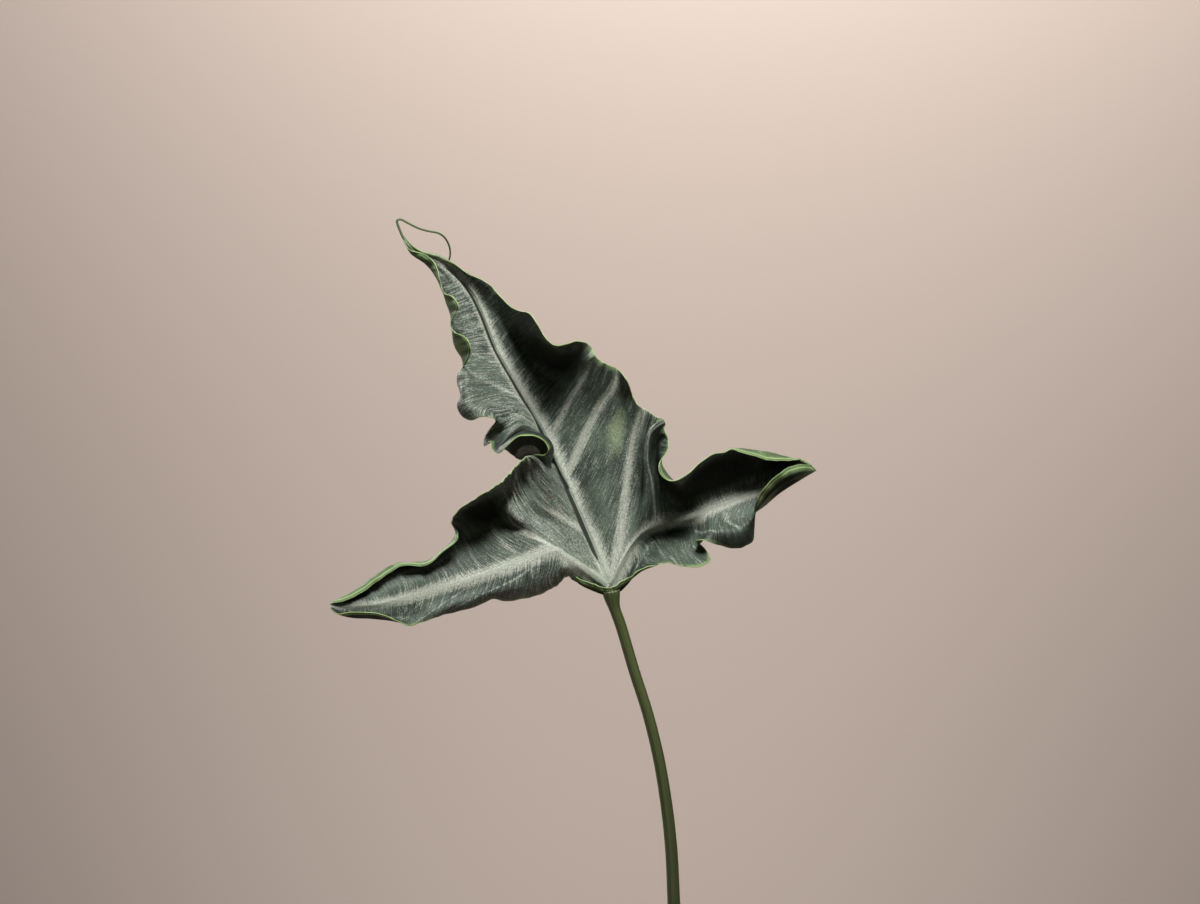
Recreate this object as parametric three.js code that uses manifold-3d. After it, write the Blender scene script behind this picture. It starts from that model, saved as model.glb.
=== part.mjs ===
// Potted alocasia in millimetres, +Z up, with its origin at the centre of the pot's underside.
// One crinkled, arrow-shaped leaf stands on a slender leaf stalk in a plain tapered clay pot.
// The leaf is drawn by hand on a grid, as seen from the front, and thickened into a solid.
import * as THREE from 'three';
import { mergeVertices } from 'three/addons/utils/BufferGeometryUtils.js';
import Module from 'manifold-3d';

const wasm = await Module();
wasm.setup();

// Driving dimensions
const LOBE_SPAN = 195.2;            // left lobe tip to right lobe tip
const LEAF_BASE = new THREE.Vector3(-29.6, 0, 350); // where the ribs meet above the stalk
const BLADE_THICKNESS = 0.8;
const RIB_HEIGHT_UNDER = 1.3;       // main ribs on the underside, where they meet
const RIB_HEIGHT_ABOVE = 0.4;
const RIB_WIDTH = 2.2;
const VEIN_HEIGHT = 0.3;            // side veins, on each face
const THREAD_RADIUS = 0.42;         // the drip tip's dried thread
const STALK_TOP_RADIUS = 2.2;
const STALK_FOOT_RADIUS = 4.2;
const POT_HEIGHT = 108;
const POT_TOP_RADIUS = 60;
const POT_FOOT_RADIUS = 42;
const POT_WALL = 5;
const POT_FLOOR = 6;
const BAND_HEIGHT = 22;             // the thicker band round the pot's mouth
const BAND_STEP = 3.6;
const DRAIN_RADIUS = 4.5;
const DRAIN_CIRCLE = 22;
const DRAIN_COUNT = 3;
const SOIL_BELOW_MOUTH = 14;
const CORM_RADIUS = 11;
const CORM_DEPTH = 16;              // how deep the corm stands in the soil
const CORM_ABOVE = 11;              // how far it stands out of it
const SHEATH_HEIGHT = 46;           // papery sheath round the stalk's foot
const SHEATH_THICKNESS = 0.8;
const GAP = 0.3;                    // clearance between neighbouring pieces
const POT_SIDES = 44;

const SOIL_LEVEL = POT_HEIGHT - SOIL_BELOW_MOUTH;
const CORM_TOP = SOIL_LEVEL + CORM_ABOVE;
const STALK_SEAT = CORM_TOP - 12;   // bottom of the hole in the corm

// The drawing grid. A point is [across, down, near]: near is towards the viewer, who stands a metre
// in front, and a nearer point is drawn in towards the line of sight so that it stays where it is seen.
const GRID_LOBE_SPAN = 488;
const GRID_STEP = LOBE_SPAN / GRID_LOBE_SPAN;
const GRID_LEAF_BASE = { across: 608, down: 584 };
const GRID_SIGHT = { across: 600, down: 452 };
const GRID_SIGHT_DISTANCE = 1000 / GRID_STEP;

const MIDRIB = [
  [403, 235, 16], [409, 246, 14], [421, 253, 9], [437, 260, 4], [455, 273, -6], [470, 291, -14],
  [482, 315, -20], [496, 350, -24], [513, 380, -26], [531, 411, -26], [547, 440, -24], [562, 474, -20],
  [577, 508, -14], [592, 543, -8], [608, 584, 0],
];
const LEFT_LOBE_RIB = [
  [608, 584, 0], [598, 577, 4], [582, 565, 9], [567, 555, 14], [555, 548, 17], [534, 556, 14],
  [505, 567, 10], [473, 578, 6], [440, 588, 4], [405, 598, 4], [370, 605, 8], [330, 605, 14],
];
const RIGHT_LOBE_RIB = [
  [608, 584, 0], [615, 573, 0], [628, 549, -4], [641, 534, -10], [657, 526, -16], [682, 520, -18],
  [710, 510, -16], [738, 500, -14], [762, 490, -12], [785, 480, -8], [802, 471, 2], [815, 470, 7],
];
const LEFT_EDGE = [
  [402, 236, 16], [406, 246, 15], [412, 251, 14], [424, 254, 14], [433, 261, 20], [438, 271, 24],
  [440, 281, 26], [444, 293, 22], [453, 297, 28], [458, 305, 32], [456, 314, 28], [451, 326, 14],
  [456, 333, 24], [465, 337, 36], [471, 348, 36], [468, 361, 26], [459, 371, 12], [457, 382, 8],
  [461, 395, 16], [457, 405, 14], [462, 416, 12], [472, 420, 20], [482, 417, 30], [493, 418, 30],
  [496, 422, 16], [490, 428, 0], [484, 437, -6], [484, 446, 0], [490, 441, 8], [492, 449, 16],
  [499, 453, 26], [508, 446, 34], [518, 437, 37], [526, 435.5, 38], [535, 436, 38], [544, 441, 36],
  [548, 449, 32], [545, 455, 26], [536, 455, 22], [526, 457, 26], [516, 466, 38], [501, 482, 46],
  [481, 495, 48], [465, 505, 42], [453, 517, 34], [452, 524, 24], [457, 532, 18], [456, 541, 24],
  [440, 555, 17], [429, 564, 14], [418, 566, 12], [406, 565.5, 11], [395, 569, 11], [383, 577, 12],
  [369, 588, 14], [354, 596.5, 16], [342, 601.5, 18], [331, 603, 16],
];
const RIGHT_EDGE = [
  [404, 235, 16], [411, 244, 15], [421, 251, 12], [431, 253, 9], [441, 256, 5], [450, 261, 4],
  [460, 268, 3], [470, 275, 0], [480, 279, -2], [490, 285, -3], [499, 295, -2], [511, 307, 6],
  [521, 311, 22], [530, 314, 36], [538, 325, 40], [545, 337, 44], [554, 345, 50], [565, 345, 46],
  [575, 341, 39], [584, 342, 32], [591, 347, 28], [596, 357, 28], [606, 364, 24], [616, 368, 18],
  [621, 372, 24], [626, 379, 32], [629, 385, 26], [632, 394, 18], [638, 405, 14], [648, 411, 14],
  [656, 417, 22], [664, 420, 28], [665, 430, 29], [669, 443, 31], [665, 454, 35], [659, 464, 40],
  [660, 473, 42], [667, 480, 42], [677, 480, 42], [688, 473, 38], [700, 463, 33], [712, 455, 30],
  [724, 452, 28], [732, 449, 27], [742, 453, 26], [755, 456, 25], [768, 460, 25], [780, 461, 24],
  [792, 460, 22], [803, 460, 17], [811, 465, 14], [816, 471, 8],
];
const LEFT_SINUS_EDGE = [
  [607, 587.5, 12], [600, 586.5, 11], [592, 583.5, 9], [580, 579, 6], [573, 576, 5], [566, 577, 4],
  [557, 585, 4], [547, 591, 4], [527, 598, 2], [508, 601, 2], [493, 599, 8], [480, 605, 6],
  [458, 611, 6], [427, 620, 10], [411, 626, 14], [400, 622, 22], [388, 617, 28], [375, 613, 32],
  [353, 612, 30], [338, 614, 24], [330, 608, 17],
];
const RIGHT_SINUS_EDGE = [
  [607, 587.5, 12], [615, 586, 11], [624, 580, 8], [631, 576, 6], [640, 570, 6], [655, 565, 8],
  [668, 563, 12], [682, 566, 16], [696, 567, 18], [710, 561, 8], [706.5, 551, 0], [700, 544, 0],
  [695.5, 541, 9], [703, 539.5, 14], [718, 545, 8], [738, 548, 4], [752, 542, -4], [754, 528, -4],
  [754, 513, 4], [758, 499, 20], [768, 483, 30], [784, 470.5, 31], [799, 464.5, 27], [811, 466, 14],
  [816, 471, 8],
];
const LEFT_OUTER = [
  [0, 0, [402.6, 235.5, 16], [402.4, 236, 16], [402.2, 236, 16]],
  [1, 1, [408, 246.3, 13.5], [407.4, 246.4, 13.5], [406.8, 246.4, 14]],
  [2, 2.4, [418, 254, 9], [415, 255, 8], [411.5, 253, 10]],
  [3, 4, [433, 261.5, 4], [429, 264, 3], [427, 264, 10]],
  [4, 6, [449, 276, -2], [443, 279, 0], [438, 280, 12]],
  [5, 8.3, [461, 296, -6], [451, 300, -2], [447, 302, 12]],
  [6, 10.6, [470, 318, -8], [459, 321, -2], [452, 321, 12]],
  [6.6, 13, [477, 339, -10], [464, 341, -4], [454, 342, 10]],
  [7.3, 15, [485, 358, -10], [471, 359, 0], [463, 360, 12]],
  [8, 17, [493, 378, -8], [475, 379, 10], [465, 380, 20]],
  [8.7, 20, [503, 398, -8], [484, 402, 10], [469, 408, 24]],
  [9.3, 22.6, [516, 409, -6], [500, 409, 8], [489, 411, 22]],
  [9.55, 24.4, [518, 415, -6], [504, 419, 6], [499, 421, 14]],
  [9.8, 26.4, [521, 421, -6], [508, 427, 2], [497, 432, 2]],
  [10.15, 29.6, [524, 429, -10], [509, 438, 4], [499, 447, 14]],
  [10.4, 31.2, [524, 445, -26], [508, 450, -24], [503, 446, 18]],
  [10.65, 33, [530, 457, -42], [516, 455, -44], [522, 432, 10]],
  [10.9, 35, [541, 461, -44], [531, 455, -48], [545, 437, 10]],
  [11.15, 36.2, [551, 461, -32], [545, 464, -34], [553, 450, 12]],
  [11.35, 37, [554, 468, -18], [551, 467, -14], [549, 461, 6]],
  [11.6, 37.9, [554, 473, -4], [546, 467, 6], [541, 461, 14]],
  [12.2, 38.6, [556, 486, 6], [546, 471, 20], [539, 462, 22]],
  [13, 39.3, [564, 516, 4], [541, 494, 12], [527, 475, 8]],
  [14.6, 40, [558, 534, 6], [531, 508, 4], [517, 484, 14]],
  [16.5, 41, [534, 530, 10], [512, 514, 10], [505, 493, 8]],
  [18.3, 42.1, [518, 536, 4], [498, 522, -18], [482, 505, 6]],
  [19.2, 43.3, [500, 544, -2], [482, 528, -18], [466, 512, 10]],
  [20, 44.7, [482, 552, -4], [467, 536, -10], [456, 524, 12]],
  [21, 46.6, [462, 563, 1], [456, 549, 0], [453, 540, 11]],
  [21.6, 48.4, [446, 570, 2], [437, 562, 1], [434, 558, 8]],
  [22.3, 50.4, [428, 578, 3], [417, 569, 1], [413, 563, 6]],
  [23, 52.4, [404, 585, 3], [397, 574, 1], [393, 565, 6]],
  [24, 54.6, [368, 598, 7], [362, 593, 5], [358, 589, 9]],
  [25, 57, [330.6, 604.5, 15], [330.7, 604, 15], [330.8, 603.5, 16]],
];
const RIGHT_OUTER = [
  [0, 0, [403.2, 235.2, 16], [403.5, 235.2, 16], [403.8, 235, 16]],
  [1, 1, [409.6, 245.5, 14], [410, 245, 14], [410.6, 244.4, 14.5]],
  [2, 2, [421, 252.5, 10], [421, 252, 11], [421, 251.5, 11.5]],
  [3, 4, [438, 259, 4], [439.3, 258, 6], [440.3, 257, 7]],
  [4, 6, [457, 271.2, -5], [459, 269.5, -2], [460, 268.6, 1]],
  [5, 8, [473, 288, -13], [476.5, 284, -9], [479, 281, -4]],
  [6, 10.3, [488, 309, -19], [494.5, 304, -14], [500, 299.5, -6]],
  [6.7, 12, [500, 329, -22], [509, 320.5, -20], [517, 314.5, 0]],
  [7.4, 14.4, [512, 350, -26], [523, 340.5, -26], [534, 332, 14]],
  [8.2, 17, [526, 373, -29], [541, 360.5, -28], [556, 350, 20]],
  [9, 19, [545, 390, -28], [562, 372, -22], [578, 353, 20]],
  [9.7, 20.8, [563, 403, -18], [579, 379, 4], [590, 359, 26]],
  [10.9, 23, [583, 436, -12], [602, 404, 0], [614, 380, 14]],
  [12.2, 26.5, [605, 462, -6], [621, 420, 2], [629, 398, 12]],
  [13.4, 28.5, [622, 496, -4], [632, 452, 0], [640, 425, 8]],
  [15, 30, [638, 500, -8], [643, 466, -4], [649, 437, 14]],
  [17.6, 31.4, [651, 488, 6], [648, 453, 19], [654, 432, 27]],
  [18.2, 32.8, [658, 486, -8], [655, 456, 6], [661, 439, 18]],
  [18.8, 34.6, [668, 499, -18], [664, 477, 0], [661, 464, 24]],
  [19.3, 37, [683, 505, -26], [680, 491, -2], [676, 483, 26]],
  [20, 39.6, [703, 497, -20], [698, 481, 0], [695, 470, 20]],
  [20.6, 41.6, [723, 490, -18], [720, 472, 0], [717, 457, 14]],
  [21.2, 43.4, [741, 484, -17], [738, 466, 0], [736, 450, 13]],
  [21.9, 45.4, [759, 477, -15], [759, 464, 0], [758, 451, 12]],
  [22.8, 47.4, [777, 470, -10], [778, 461, 2], [778, 455, 11]],
  [23.8, 49.2, [798, 465, 1], [800, 463, 8], [801, 461.5, 16]],
  [25, 51, [815.2, 470, 7.2], [815.5, 470.4, 7.5], [815.8, 470.8, 8]],
];
const LEFT_INNER = [
  [14, 0, [609, 594, -1], [608.5, 595, 6]],
  [14.7, 1.4, [600, 588.5, -1], [598, 592, 3]],
  [15.3, 2.6, [590, 580.5, 2], [588, 588, 1]],
  [16, 4, [580, 572, 7], [575, 581, 2]],
  [17, 5.2, [566, 565, 15], [564, 571, 12]],
  [18, 6.5, [552, 566, 18], [549, 579, 14]],
  [19, 8, [532, 575, 18], [529, 589, 12]],
  [20, 9.7, [502, 582, 14], [499, 592, 14]],
  [21, 12, [468, 592, 8], [462, 602, 12]],
  [22, 13, [436, 602, 6], [431, 613, 10]],
  [23, 14.7, [405, 610, 4], [404, 620, 6]],
  [24, 17, [370, 612, 6], [370, 618, 10]],
  [24.6, 18.8, [347, 611, 11], [345, 615.5, 14]],
  [25, 20, [330.4, 606, 15], [330.2, 607, 16]],
];
const RIGHT_INNER = [
  [14, 0, [609, 594, -1], [608.5, 595, 6]],
  [15, 2, [621, 583.5, -3], [621, 590, 0]],
  [16, 4.4, [634, 562, -10], [634, 575, -8]],
  [17, 6, [652, 543, -26], [657, 552, -8]],
  [18, 7.4, [670, 536, -28], [676, 549, -8]],
  [19, 9, [690, 534, -27], [693, 550, -6]],
  [19.5, 11.4, [699, 530.5, -18], [699, 544, -6]],
  [20, 13.4, [709, 526, -4], [709, 534, 6]],
  [20.8, 14.6, [723, 523, 0], [727, 533, 14]],
  [21.6, 16, [741, 517, -2], [745, 529, 8]],
  [22.2, 18, [760, 508, -8], [757, 509, 12]],
  [23, 20, [779, 493, 4], [777, 486, 22]],
  [24, 22, [799, 480, 12], [798, 474, 27]],
  [25, 24, [815.3, 470.5, 7.3], [815.6, 470.8, 7.6]],
];
const THREAD = [
  [412, 250, 12], [404, 239, 15], [399, 228, 18], [397, 221, 20], [401, 219.5, 20], [408, 223, 18],
  [418, 228, 14], [428, 231, 8], [438, 233, 2], [445, 238, -6], [449.5, 247, -14], [450, 256, -20],
  [447, 265, -26],
];
const STALK = [
  [682, 1150, 0], [681, 1090, 0], [679, 1030, -3], [676.5, 960, -6], [674, 904, -9], [671, 845, -11],
  [666, 801, -11], [658.5, 757, -10], [648, 714, -8], [634, 670, -6], [621, 626, -2], [613, 602, 2],
  [611, 590, 4],
];

// How the ribs are divided, as [from, to, steps], and how the blade is divided from rib to edge
const MIDRIB_STEPS = [[0, 6, 12], [6, 9, 9], [9, 11.4, 18], [11.4, 14, 8]];
const LEFT_LOBE_STEPS = [[14, 25, 30]];
const RIGHT_LOBE_STEPS = [[14, 17.4, 8], [17.4, 19.4, 12], [19.4, 25, 20]];
const OUTER_COLUMNS = [0, 0.05, 0.14, 0.28, 0.44, 0.6, 0.74, 0.87, 1];
const INNER_COLUMNS = [0, 0.08, 0.28, 0.52, 0.76, 1];
const OUTER_ROW_PLACES = [0, 0.36, 0.66, 0.86, 1];
const INNER_ROW_PLACES = [0, 0.4, 0.74, 1];
const RIB_MEETING = 14;
const LOBE_TIP = 25;

// Side veins, by their places on the ribs
const LEFT_VEINS = [3.4, 5, 6.2, 7.2, 8.1, 9.2, 10, 12.4, 13.6, 16.5, 19, 20.4, 21.8, 23];
const RIGHT_VEINS = [3.4, 4.8, 6, 7.2, 8.4, 9.7, 10.9, 13.4, 17.6, 20.6, 21.8, 23];
const LEFT_INNER_VEINS = [17, 18.4, 20.2, 21.6, 23];
const RIGHT_INNER_VEINS = [16, 18, 20, 21.4, 22.8];
const VEIN_WIDTH = 0.16;
const NARROW_STRIP = 3;             // ribs and veins fade out where a strip is narrower than the wide one
const WIDE_STRIP = 14;

const SMALLEST_STEP = 0.35;         // points of one row closer than this become one
const THINNEST = 0.6;               // the blade where it is curled most tightly
const EASING_ROUNDS = 12;

// Position in millimetres of a point of the drawing grid
function gridPoint([across, down, near]) {
  const drawnIn = 1 - near / GRID_SIGHT_DISTANCE;
  const acrossNow = GRID_SIGHT.across + (across - GRID_SIGHT.across) * drawnIn;
  const downNow = GRID_SIGHT.down + (down - GRID_SIGHT.down) * drawnIn;
  return new THREE.Vector3(
    LEAF_BASE.x + (acrossNow - GRID_LEAF_BASE.across) * GRID_STEP,
    LEAF_BASE.y - near * GRID_STEP,
    LEAF_BASE.z + (GRID_LEAF_BASE.down - downNow) * GRID_STEP,
  );
}

// Cubic curve through values at given places, each value a list of coordinates, from the slopes at them
function cubicThrough(values, places, slopes) {
  return (place) => {
    const last = places.length - 2;
    const after = places.findIndex((p) => p > place);
    const i = after < 0 ? last : Math.min(Math.max(after - 1, 0), last);
    const width = places[i + 1] - places[i];
    const t = THREE.MathUtils.clamp((place - places[i]) / width, 0, 1);
    const from = (1 + 2 * t) * (1 - t) ** 2;
    const to = t * t * (3 - 2 * t);
    const leaving = t * (1 - t) ** 2 * width;
    const arriving = t * t * (t - 1) * width;
    return values[i].map((value, k) => (
      from * value + to * values[i + 1][k] + leaving * slopes[i][k] + arriving * slopes[i + 1][k]
    ));
  };
}

function risesBetween(values, places) {
  return places.slice(1).map((place, i) => (
    values[i].map((value, k) => (values[i + 1][k] - value) / (place - places[i]))
  ));
}

// Smooth curve: the slope at a point is the mean of the rises beside it, the nearer one counting more
function smoothCurve(values, places = values.map((_, i) => i)) {
  const rises = risesBetween(values, places);
  const last = values.length - 1;
  const slopes = values.map((value, i) => {
    if (i === 0 || i === last) return null;
    const before = places[i] - places[i - 1];
    const after = places[i + 1] - places[i];
    return value.map((_, k) => (
      (rises[i - 1][k] * after + rises[i][k] * before) / (before + after)
    ));
  });
  slopes[0] = rises[0].map((rise, k) => 1.5 * rise - 0.5 * slopes[1][k]);
  slopes[last] = rises[last - 1].map((rise, k) => 1.5 * rise - 0.5 * slopes[last - 1][k]);
  return cubicThrough(values, places, slopes);
}

// Smooth curve of single numbers that never turns back between two places
function steadyCurve(numbers, places) {
  const values = numbers.map((number) => [number]);
  const rises = risesBetween(values, places).map(([rise]) => rise);
  const last = numbers.length - 1;
  const slopes = numbers.map((_, i) => {
    if (i === 0) return [rises[0]];
    if (i === last) return [rises[last - 1]];
    const product = rises[i - 1] * rises[i];
    return [product > 0 ? 2 * product / (rises[i - 1] + rises[i]) : 0];
  });
  const curve = cubicThrough(values, places, slopes);
  return (place) => curve(place)[0];
}

function placesIn(bands) {
  const places = bands.flatMap(([from, to, steps]) => (
    Array.from({ length: steps }, (_, i) => from + (to - from) * i / steps)
  ));
  places.push(bands.at(-1)[1]);
  return places;
}

// One strip of blade from a rib to an edge: a grid of points with the rise of ribs and veins at each
function bladeStrip({ rib, edge, stations, rowPlaces, places, columns, veins }) {
  const stationPlaces = stations.map((station) => station[0]);
  const edgePlace = steadyCurve(stations.map((station) => station[1]), stationPlaces);
  const rows = stations[0].slice(2).map((_, r) => (
    smoothCurve(stations.map((station) => station[r + 2]), stationPlaces)
  ));
  const edgeCurve = smoothCurve(edge);
  return places.map((place) => {
    const drawn = [rib(place), ...rows.map((row) => row(place)), edgeCurve(edgePlace(place))];
    const across = smoothCurve(drawn, rowPlaces);
    const ribPoint = gridPoint(drawn[0]);
    const width = ribPoint.distanceTo(gridPoint(drawn.at(-1)));
    const wide = THREE.MathUtils.smoothstep(width, NARROW_STRIP, WIDE_STRIP);
    const ribSize = place < RIB_MEETING ? place / RIB_MEETING
      : (LOBE_TIP - place) / (LOBE_TIP - RIB_MEETING);
    const nearestVein = Math.min(...veins.map((vein) => Math.abs(vein - place)));
    const veinSize = Math.exp(-((nearestVein / VEIN_WIDTH) ** 2)) * wide;
    return columns.map((column) => {
      const point = gridPoint(across(column));
      const fromRib = point.distanceTo(ribPoint) / RIB_WIDTH;
      const rib = Math.exp(-fromRib * fromRib) * ribSize * wide;
      return { point, rib, vein: veinSize * (1 - column) ** 1.5 };
    });
  });
}

// All strips of the blade as one sheet, its shared points joined, its faces towards the viewer
function bladeSheet() {
  const midrib = smoothCurve(MIDRIB);
  const lobeRibs = { left: smoothCurve(LEFT_LOBE_RIB), right: smoothCurve(RIGHT_LOBE_RIB) };
  const ribOf = (side) => (place) => (
    place <= RIB_MEETING ? midrib(place) : lobeRibs[side](place - RIB_MEETING)
  );
  const outer = { rowPlaces: OUTER_ROW_PLACES, columns: OUTER_COLUMNS };
  const inner = { rowPlaces: INNER_ROW_PLACES, columns: INNER_COLUMNS };
  const strips = [
    { ...outer, rib: ribOf('left'), edge: LEFT_EDGE, stations: LEFT_OUTER, veins: LEFT_VEINS,
      places: placesIn([...MIDRIB_STEPS, ...LEFT_LOBE_STEPS]), turned: true },
    { ...outer, rib: ribOf('right'), edge: RIGHT_EDGE, stations: RIGHT_OUTER, veins: RIGHT_VEINS,
      places: placesIn([...MIDRIB_STEPS, ...RIGHT_LOBE_STEPS]), turned: false },
    { ...inner, rib: ribOf('left'), edge: LEFT_SINUS_EDGE, stations: LEFT_INNER,
      veins: LEFT_INNER_VEINS, places: placesIn(LEFT_LOBE_STEPS), turned: false },
    { ...inner, rib: ribOf('right'), edge: RIGHT_SINUS_EDGE, stations: RIGHT_INNER,
      veins: RIGHT_INNER_VEINS, places: placesIn(RIGHT_LOBE_STEPS), turned: true },
  ];
  const sheet = { points: [], ribs: [], veins: [], faces: [] };
  const known = new Map();
  const numberOf = ({ point, rib, vein }) => {
    const key = point.toArray().map((c) => c.toFixed(3)).join();
    if (!known.has(key)) {
      known.set(key, sheet.points.length);
      sheet.points.push(point);
      sheet.ribs.push(rib);
      sheet.veins.push(vein);
    }
    return known.get(key);
  };
  const rowNumbers = (row) => {
    let kept = row[0];
    return row.map((spot) => {
      if (spot.point.distanceTo(kept.point) > SMALLEST_STEP) kept = spot;
      return numberOf(kept);
    });
  };
  for (const strip of strips) {
    const numbers = bladeStrip(strip).map(rowNumbers);
    for (let i = 0; i < numbers.length - 1; i += 1) {
      for (let j = 0; j < strip.columns.length - 1; j += 1) {
        const corners = [numbers[i][j], numbers[i + 1][j], numbers[i + 1][j + 1], numbers[i][j + 1]];
        if (strip.turned) corners.reverse();
        addQuad(sheet, corners);
      }
    }
  }
  return sheet;
}

// Splits a four-cornered patch along its shorter diagonal and leaves out triangles with no area
function addQuad(sheet, [a, b, c, d]) {
  const { points, faces } = sheet;
  const shorter = points[a].distanceTo(points[c]) <= points[b].distanceTo(points[d]);
  const pair = shorter ? [[a, b, c], [a, c, d]] : [[a, b, d], [b, c, d]];
  faces.push(...pair.filter(([p, q, r]) => p !== q && q !== r && r !== p));
}

function faceNormal(points, [a, b, c]) {
  const one = points[b].clone().sub(points[a]);
  const two = points[c].clone().sub(points[a]);
  return one.cross(two);
}

function sheetNormals({ points, faces }) {
  const normals = points.map(() => new THREE.Vector3());
  for (const face of faces) {
    const normal = faceNormal(points, face);
    for (const corner of face) normals[corner].add(normal);
  }
  return normals.map((normal) => normal.normalize());
}

// One face of the solid round a sheet. Where the sheet bends so tightly that a triangle would turn over,
// the face is brought closer, down to the least thickness.
function offsetPoints(sheet, normals, distances, direction) {
  const eased = [...distances];
  const moved = () => sheet.points.map((point, i) => (
    point.clone().addScaledVector(normals[i], direction * eased[i])
  ));
  for (let round = 0; round < EASING_ROUNDS; round += 1) {
    const points = moved();
    for (const face of sheet.faces) {
      const before = faceNormal(sheet.points, face).normalize();
      const after = faceNormal(points, face).normalize();
      if (before.dot(after) > 0.5) continue;
      for (const corner of face) eased[corner] = Math.max(eased[corner] * 0.85, THINNEST / 2);
    }
  }
  return moved();
}

// Edges that belong to one face only, in the direction in which that face goes round
function openEdges(faces) {
  const edges = new Map();
  for (const [a, b, c] of faces) {
    for (const [from, to] of [[a, b], [b, c], [c, a]]) {
      if (!edges.delete(`${to},${from}`)) edges.set(`${from},${to}`, [from, to]);
    }
  }
  return [...edges.values()];
}

// Closed solid round a sheet: the same triangles in front and behind, joined along the open edges
function thickened(sheet, halfAt) {
  const normals = sheetNormals(sheet);
  const count = sheet.points.length;
  const positions = new Float32Array(count * 6);
  const halves = sheet.points.map((_, i) => halfAt(i));
  const front = offsetPoints(sheet, normals, halves.map((half) => half.above), 1);
  const back = offsetPoints(sheet, normals, halves.map((half) => half.under), -1);
  [...front, ...back].forEach((point, i) => point.toArray(positions, i * 3));
  const index = [];
  for (const [a, b, c] of sheet.faces) index.push(a, b, c, count + c, count + b, count + a);
  for (const [from, to] of openEdges(sheet.faces)) {
    index.push(to, from, count + from, to, count + from, count + to);
  }
  return geometryFrom(positions, index);
}

function geometryFrom(positions, index) {
  const geometry = new THREE.BufferGeometry();
  geometry.setAttribute('position', new THREE.BufferAttribute(positions, 3));
  geometry.setIndex(index);
  return geometry;
}

// Solid of round sections along a curve, its radius given at each place from 0 to 1
function roundAlong(curve, radiusAt, sides, steps) {
  const frames = curve.computeFrenetFrames(steps);
  const positions = [];
  const index = [];
  for (let i = 0; i <= steps; i += 1) {
    const centre = curve.getPointAt(i / steps);
    for (let k = 0; k < sides; k += 1) {
      const angle = 2 * Math.PI * k / sides;
      const radius = radiusAt(i / steps);
      const corner = centre.clone();
      corner.addScaledVector(frames.normals[i], radius * Math.cos(angle));
      corner.addScaledVector(frames.binormals[i], radius * Math.sin(angle));
      positions.push(...corner.toArray());
    }
  }
  for (let i = 0; i < steps; i += 1) {
    for (let k = 0; k < sides; k += 1) {
      const a = i * sides + k;
      const b = i * sides + (k + 1) % sides;
      index.push(a, b, b + sides, a, b + sides, a + sides);
    }
  }
  for (let k = 1; k < sides - 1; k += 1) {
    const end = steps * sides;
    index.push(0, k + 1, k, end, end + k, end + k + 1);
  }
  return geometryFrom(new Float32Array(positions), index);
}

function toSolid(geometry) {
  const bare = geometry.clone();
  bare.deleteAttribute('normal');
  bare.deleteAttribute('uv');
  const merged = mergeVertices(bare, 1e-4);
  return new wasm.Manifold(new wasm.Mesh({
    numProp: 3,
    vertProperties: merged.attributes.position.array,
    triVerts: new Uint32Array(merged.index.array),
  }));
}

function toGeometry(solid) {
  const mesh = solid.getMesh();
  return geometryFrom(mesh.vertProperties, Array.from(mesh.triVerts));
}

function largestPiece(solid) {
  return solid.decompose().sort((one, other) => other.volume() - one.volume())[0];
}

// Turned solid about the upright axis. Its outline [radius, height] runs from the axis back to the axis,
// anticlockwise, so that the material lies on its left.
function turned(outline, segments) {
  const points = outline.map(([radius, height]) => new THREE.Vector2(radius, height));
  return new THREE.LatheGeometry(points, segments).rotateX(Math.PI / 2);
}

// Plain clay pot with a thicker band round its mouth and drain holes beside the middle of its floor
function potGeometry() {
  const bandFoot = POT_HEIGHT - BAND_HEIGHT;
  const outline = [
    [0, 0],
    [POT_FOOT_RADIUS - 1.2, 0],
    [POT_FOOT_RADIUS, 1.2],
    [POT_TOP_RADIUS - BAND_STEP - 1.4, bandFoot],
    [POT_TOP_RADIUS - 1.6, bandFoot + 1.6],
    [POT_TOP_RADIUS, POT_HEIGHT - 1.5],
    [POT_TOP_RADIUS - 1.5, POT_HEIGHT],
    [wallRadius(POT_HEIGHT) + 1, POT_HEIGHT],
    [wallRadius(POT_HEIGHT - 1), POT_HEIGHT - 1],
    [wallRadius(POT_FLOOR + 2), POT_FLOOR + 2],
    [wallRadius(POT_FLOOR) - 2, POT_FLOOR],
    [0, POT_FLOOR],
  ];
  let pot = toSolid(turned(outline, POT_SIDES));
  for (let i = 0; i < DRAIN_COUNT; i += 1) {
    const angle = 2 * Math.PI * (i + 0.25) / DRAIN_COUNT;
    const drain = new THREE.CylinderGeometry(DRAIN_RADIUS, DRAIN_RADIUS, 3 * POT_FLOOR, 16);
    drain.rotateX(Math.PI / 2);
    drain.translate(DRAIN_CIRCLE * Math.cos(angle), DRAIN_CIRCLE * Math.sin(angle), POT_FLOOR / 2);
    pot = pot.subtract(toSolid(drain));
  }
  return toGeometry(pot);
}

// Radius of the pot's inner wall at a height
function wallRadius(height) {
  const foot = POT_FOOT_RADIUS - POT_WALL;
  const mouth = POT_TOP_RADIUS - POT_WALL;
  return foot + (mouth - foot) * height / POT_HEIGHT;
}

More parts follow.
